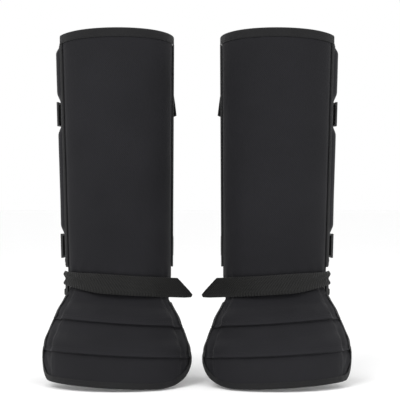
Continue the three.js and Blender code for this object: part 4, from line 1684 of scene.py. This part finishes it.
    def _line(self, across: Array, height: Array) -> tuple[Array, Array]:
        """A line sewn on the pad's front, and its outward directions.

        Args:
            across: Place across, from -1 (outer side) to 1 (inner side).
            height: Height on the shield.

        Returns:
            The points and their outward directions.
        """
        out = self.front(across, height) + 0.1
        on = self.at(across, height, out)
        return on, unit(self.at(across, height, out + 1.0) - on)

    def build(self, bench: Bench) -> None:
        """Builds and fits the pad's pieces.

        Args:
            bench: The workbench.
        """
        node = self.word
        bench.fit(self.shell(bench), f"{self.word}_shell", Fitting(
            "{p}_" + self.body, Slot.CLOTH, (node, f"{node}_insert"), fill=0.6))
        self.tapes(bench)
        self.seams(bench)


# ---------------------------------------------------------------------------------------------
# Instep strap and its loose end
# ---------------------------------------------------------------------------------------------


@dataclass
class InstepStrap:
    """The strap under the boot, and the surplus webbing that crosses the ankle."""

    outer_face: float = -61.218
    inner_face: float = 63.818
    web: float = 1.5
    width: float = 25.0
    top_outer: float = 124.0
    top_inner: float = 111.0
    sole_half: float = 50.0
    bend: float = 12.0
    slant: float = 12.0
    tail_low: float = 115.0
    tail_drop: float = 12.0
    tail_off: float = 7.6
    tail_free: float = 54.0
    tail_point: float = 27.0
    tail_start: tuple = (-65.52, -19.85)
    tail_span: tuple = (-62.0, 48.0)
    rib_slant: float = 0.25
    rib_pitch: float = 3.9
    lock_drop: float = 23.0 / 3.0

    def stirrup(self, bench: Bench) -> bpy.types.Object:
        """The strap from one side of the ankle, under the sole, to the other.

        Args:
            bench: The workbench.

        Returns:
            The strap.
        """
        arc = np.radians(np.linspace(0.0, 90.0, 12))
        left = np.column_stack([3 - self.sole_half - self.bend * (np.cos(arc) - 0.45),
                                self.web + 1.6 * self.bend * (1.0 - np.sin(arc))])
        right = np.column_stack([6.0 - left[::-1, 0], left[::-1, 1]])
        line = np.vstack([[self.outer_face, self.top_outer], [self.outer_face, self.top_outer - 25.0],
                          left, right, [self.inner_face, self.top_inner - 25.0],
                          [self.inner_face, self.top_inner]])
        flat = rounded(line, 220, 5)
        back = self.slant * ease(1.0 - flat[:, 1] / (self.top_inner - 25.0))
        path = np.column_stack([flat[:, 0], STIRRUP_FRONT + self.width / 2.0 + back, flat[:, 1]])
        along = unit(np.gradient(flat, axis=0))
        face = np.column_stack([along[:, 1], 0.0 * back, -along[:, 0]])
        wide = np.tile([0.0, self.width / 2.0, 0.0], (len(path), 1))
        return bench.ribbon(path, face, wide, self.web, bench.finishes.web)

    def tail_plan(self, z: float) -> Array:
        """The tail's inner face in plan at a height.

        Args:
            z: Height.

        Returns:
            Points in plan.
        """
        degrees = np.linspace(*self.tail_span, 60)
        on = LEG.point(degrees, np.full_like(degrees, z), np.full_like(degrees, self.tail_off))[:, :2]
        onward = unit(on[-1] - on[-2])
        start = np.array([self.tail_start])
        return np.vstack([start, on, on[-1] + onward * self.tail_free])

    def tail(self, bench: Bench) -> bpy.types.Object:
        """The loose end: bunched where it leaves the ladder lock, cut to a point at the other end.

        Args:
            bench: The workbench.

        Returns:
            The loose end.
        """
        columns, rows = 260, 14

        def place(u: Array, v: Array, w: Array) -> Array:
            """Places the tail's points, one row at a time.

            Args:
                u: Place across, from 0 to 1.
                v: Place up, from 0 to 1.
                w: 0 at the back, 1 at the front.

            Returns:
                Points, in millimetres.
            """
            points = np.zeros((len(u), 3))
            i = np.round(u * columns).astype(int)
            long = length_of(self.tail_plan(self.tail_low))
            for row in range(rows + 1):
                here = np.round(v * rows).astype(int) == row
                share = row / rows
                z = self.tail_low + share * self.width - self.tail_drop / 2.0
                plan = self.tail_plan(z)
                cut = long + 1.5 - self.tail_point * share**1.25 - 5.0 * max(0.12 - share, 0.0) / 0.12
                line = rounded(plan, 400, 4)
                run = np.linspace(0.0, length_of(plan), 400)
                at = np.linspace(0.0, cut, columns + 1)
                line = np.stack([np.interp(at, run, line[:, k]) for k in range(2)], axis=1)
                along = unit(np.gradient(line, axis=0))
                face = np.stack([along[:, 1], -along[:, 0]], axis=1)
                gather = 1.0 - ease((at - 4.0) / 62.0)
                low = self.tail_low - self.tail_drop * np.clip(at / (long * 0.93), 0.0, 1.0)
                middle = low + self.width / 2.0 + 1.5 * gather
                half = self.width / 2.0 * (1.0 - 0.3 * gather)
                height = middle + (2.0 * share - 1.0) * half
                wave = gather * (1.15 * math.sin(share * 9.4 + 0.5))
                wave = wave + 0.25 * ripple(at, 25 * share, 38.0, 31)
                curl = 1.3 * ease((at - long + 60.0) / 60.0) * (share - 0.4) ** 2 * 4.0
                selvedge = 0.22 * (1.0 - (2.0 * share - 1.0) ** 6)
                rib = 0.24 * np.sin(2 * math.pi * (at + share * self.width * self.rib_slant) / self.rib_pitch)
                rib = rib * (1.0 - abs(2.0 * share - 1.0) ** 5)
                outward = np.where(w[here] > 0.5, 1.0, -1.0)
                depth = self.web / 2.0 + selvedge
                offset = (wave + curl)[i[here]] + self.web / 2.0 + outward * (depth + rib[i[here]])
                points[here, :2] = line[i[here]] + face[i[here]] * offset[:, None]
                points[here, 2] = height[i[here]]
            return points

        return bench.layer(columns, rows, place, (length_of(self.tail_plan(self.tail_low)), self.width),
                           bench.finishes.web, roundness=0.3, sheen_rim_width=1.5)

    def lock_loop(self, bench: Bench) -> bpy.types.Object:
        """The webbing over the ladder lock's middle bar.

        Args:
            bench: The workbench.

        Returns:
            The loop.
        """
        x = self.outer_face - self.web - 0.3
        top = self.top_outer - self.lock_drop
        line = np.array([[x + 0.6, top - 1.2], [x - 2.2, top - 1.2], [x - 3.9, top - 2.6],
                         [x - 3.9, top - 8.6], [x - 2.2, top - 9.9], [x + 0.6, top - 9.9]])
        flat = rounded(line, 40, 2)
        along = unit(np.gradient(flat, axis=0))
        path = np.column_stack([flat[:, 0], 0 * flat[:, 0] + STIRRUP_FRONT + self.width / 2.0, flat[:, 1]])
        face = np.column_stack([along[:, 1], 0.0 * flat[:, 0], -along[:, 0]])
        wide = np.tile([0.0, self.width / 2.0 - 0.1, 0.0], (len(path), 1))
        return bench.ribbon(path - face * self.web / 2, face, wide, self.web, bench.finishes.web, crown=0.05)

    def build(self, bench: Bench) -> None:
        """Builds and fits the strap's pieces.

        Args:
            bench: The workbench.
        """
        bench.fit(self.stirrup(bench), "instep_web", Fitting(
            "{p}_stirrup", Slot.WEBBING, ("stirrup_strap",)))
        bench.fit(self.tail(bench), "tail_web", Fitting("{p}_tail", Slot.WEBBING, ("strap_tail",)))
        bench.fit(self.lock_loop(bench), "lock_loop", Fitting("{p}_lock", Slot.WEBBING))


# ---------------------------------------------------------------------------------------------
# Moulded hardware
# ---------------------------------------------------------------------------------------------


@dataclass
class Hardware:
    """The moulded pieces, which keep their own shapes and get rounded edges and a finish."""

    names: tuple = ("upper_adjuster", "lower_adjuster", "upper_female", "lower_female",
                    "upper_male", "lower_male", "upper_prongs", "lower_prongs", "ladder_lock")
    radius: float = 0.35

    def build(self, bench: Bench) -> None:
        """Rounds and finishes every moulded piece.

        Args:
            bench: The workbench.
        """
        for side in Side:
            for name in self.names:
                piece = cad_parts[f"{side.value}_{name}"]
                piece.data.materials.clear()
                piece.data.materials.append(bench.finishes.plastic)
                weld = piece.modifiers.new("weld", "WELD")
                weld.merge_threshold = 0.00001
                rounding = piece.modifiers.new("rounding", "BEVEL")
                rounding.width = self.radius * 0.001
                rounding.segments = 2
                rounding.limit_method = "ANGLE"
                rounding.angle_limit = math.radians(40.0)
        log.info("hardware: %d moulded pieces on each gaiter", len(self.names))


# ---------------------------------------------------------------------------------------------
# Studio
# ---------------------------------------------------------------------------------------------


@dataclass
class Studio:
    """The floor, the light and the camera."""

    lens: float = 125.6
    camera_place: tuple = (0.00375, -1.7604, 0.228)
    sky: float = 1.0
    key: float = 26.0
    fill: float = 9.0
    floor_radius: float = 30.0
    floor_gap: float = 0.0004

    def floor(self, bench: Bench) -> None:
        """A wide pale floor just under the gaiters.

        Args:
            bench: The workbench.
        """
        bench.deselect()
        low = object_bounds()[0][2]
        bpy.ops.mesh.primitive_circle_add(vertices=96, radius=self.floor_radius, fill_type="NGON",
                                          location=(0.0, 0.0, low - self.floor_gap))
        sweep = bpy.context.object
        sweep.name = "studio_floor"
        bpy.ops.object.transform_apply(location=True, rotation=True, scale=True)
        sweep.data.materials.append(bench.finishes.paper)
        sweep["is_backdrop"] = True

    def lamp(self, name: str, place: Sequence[float], aim: Sequence[float], size: float,
             power: float) -> None:
        """A soft square lamp.

        Args:
            name: Its name.
            place: Where it is, in metres.
            aim: What it points at.
            size: The length of its side, in metres.
            power: Its power, in watts.
        """
        bpy.ops.object.light_add(type="AREA", location=tuple(place))
        lamp = bpy.context.object
        lamp.name = name
        lamp.data.size = size
        lamp.data.energy = power
        away = np.array(place, float) - np.array(aim, float)
        yaw = math.atan2(away[0], -away[1])
        pitch = math.atan2(math.hypot(away[0], away[1]), away[2])
        lamp.rotation_euler = (pitch, 0.0, yaw)

    def build(self, bench: Bench) -> None:
        """Sets up the floor, the world, the lamps and the camera.

        Args:
            bench: The workbench.
        """
        self.floor(bench)
        scene = bpy.context.scene
        world = bpy.data.worlds.new("studio")
        world.use_nodes = True
        world.node_tree.nodes["Background"].inputs[0].default_value = (1.0, 1.0, 1.0, 1.0)
        world.node_tree.nodes["Background"].inputs[1].default_value = self.sky
        scene.world = world
        scene.view_settings.view_transform = "Standard"
        self.lamp("key", (-1.0, -1.6, 1.7), (0.0, 0.0, 0.25), 1.4, self.key)
        self.lamp("fill", (1.5, -1.2, 0.9), (0.0, 0.0, 0.2), 1.6, self.fill)
        bpy.ops.object.camera_add(location=self.camera_place, rotation=(math.pi / 2.0, 0.0, 0.0))
        camera = bpy.context.object
        camera.data.lens = self.lens
        camera.data.sensor_width = 36.0
        scene.camera = camera


def main() -> None:
    """Builds the pair, piece by piece."""
    logging.basicConfig(level=logging.INFO, format="%(message)s")
    bench = Bench(Finishes())
    ShinPanel().build(bench)
    SideWing("outer", side=-1, seam=70.4, pillow=4.2).build(bench)
    SideWing("inner", side=1, seam=85.4).build(bench)
    Closure("upper", middle=338.6, climb=10.5, flare=3.4).build(bench)
    Closure("lower", middle=169.0, climb=0.0, flare=0.0).build(bench)
    ShieldPad("upper_pad", "ankle_pad", low=71.5, high=131.0, lift=4.3, corner=0.0, seed=41,
              hump=3.2).build(bench)
    ShieldPad("middle_pad", "middle_pad", low=36.5, high=79.5, lift=4.3, corner=0.0,
              seed=51).build(bench)
    ShieldPad("toe_pad", "toe_pad", low=4.3, high=44.5, lift=0.0, corner=27.0, seed=61).build(bench)
    InstepStrap().build(bench)
    Hardware().build(bench)
    Studio().build(bench)


if __name__ == "__main__":
    main()
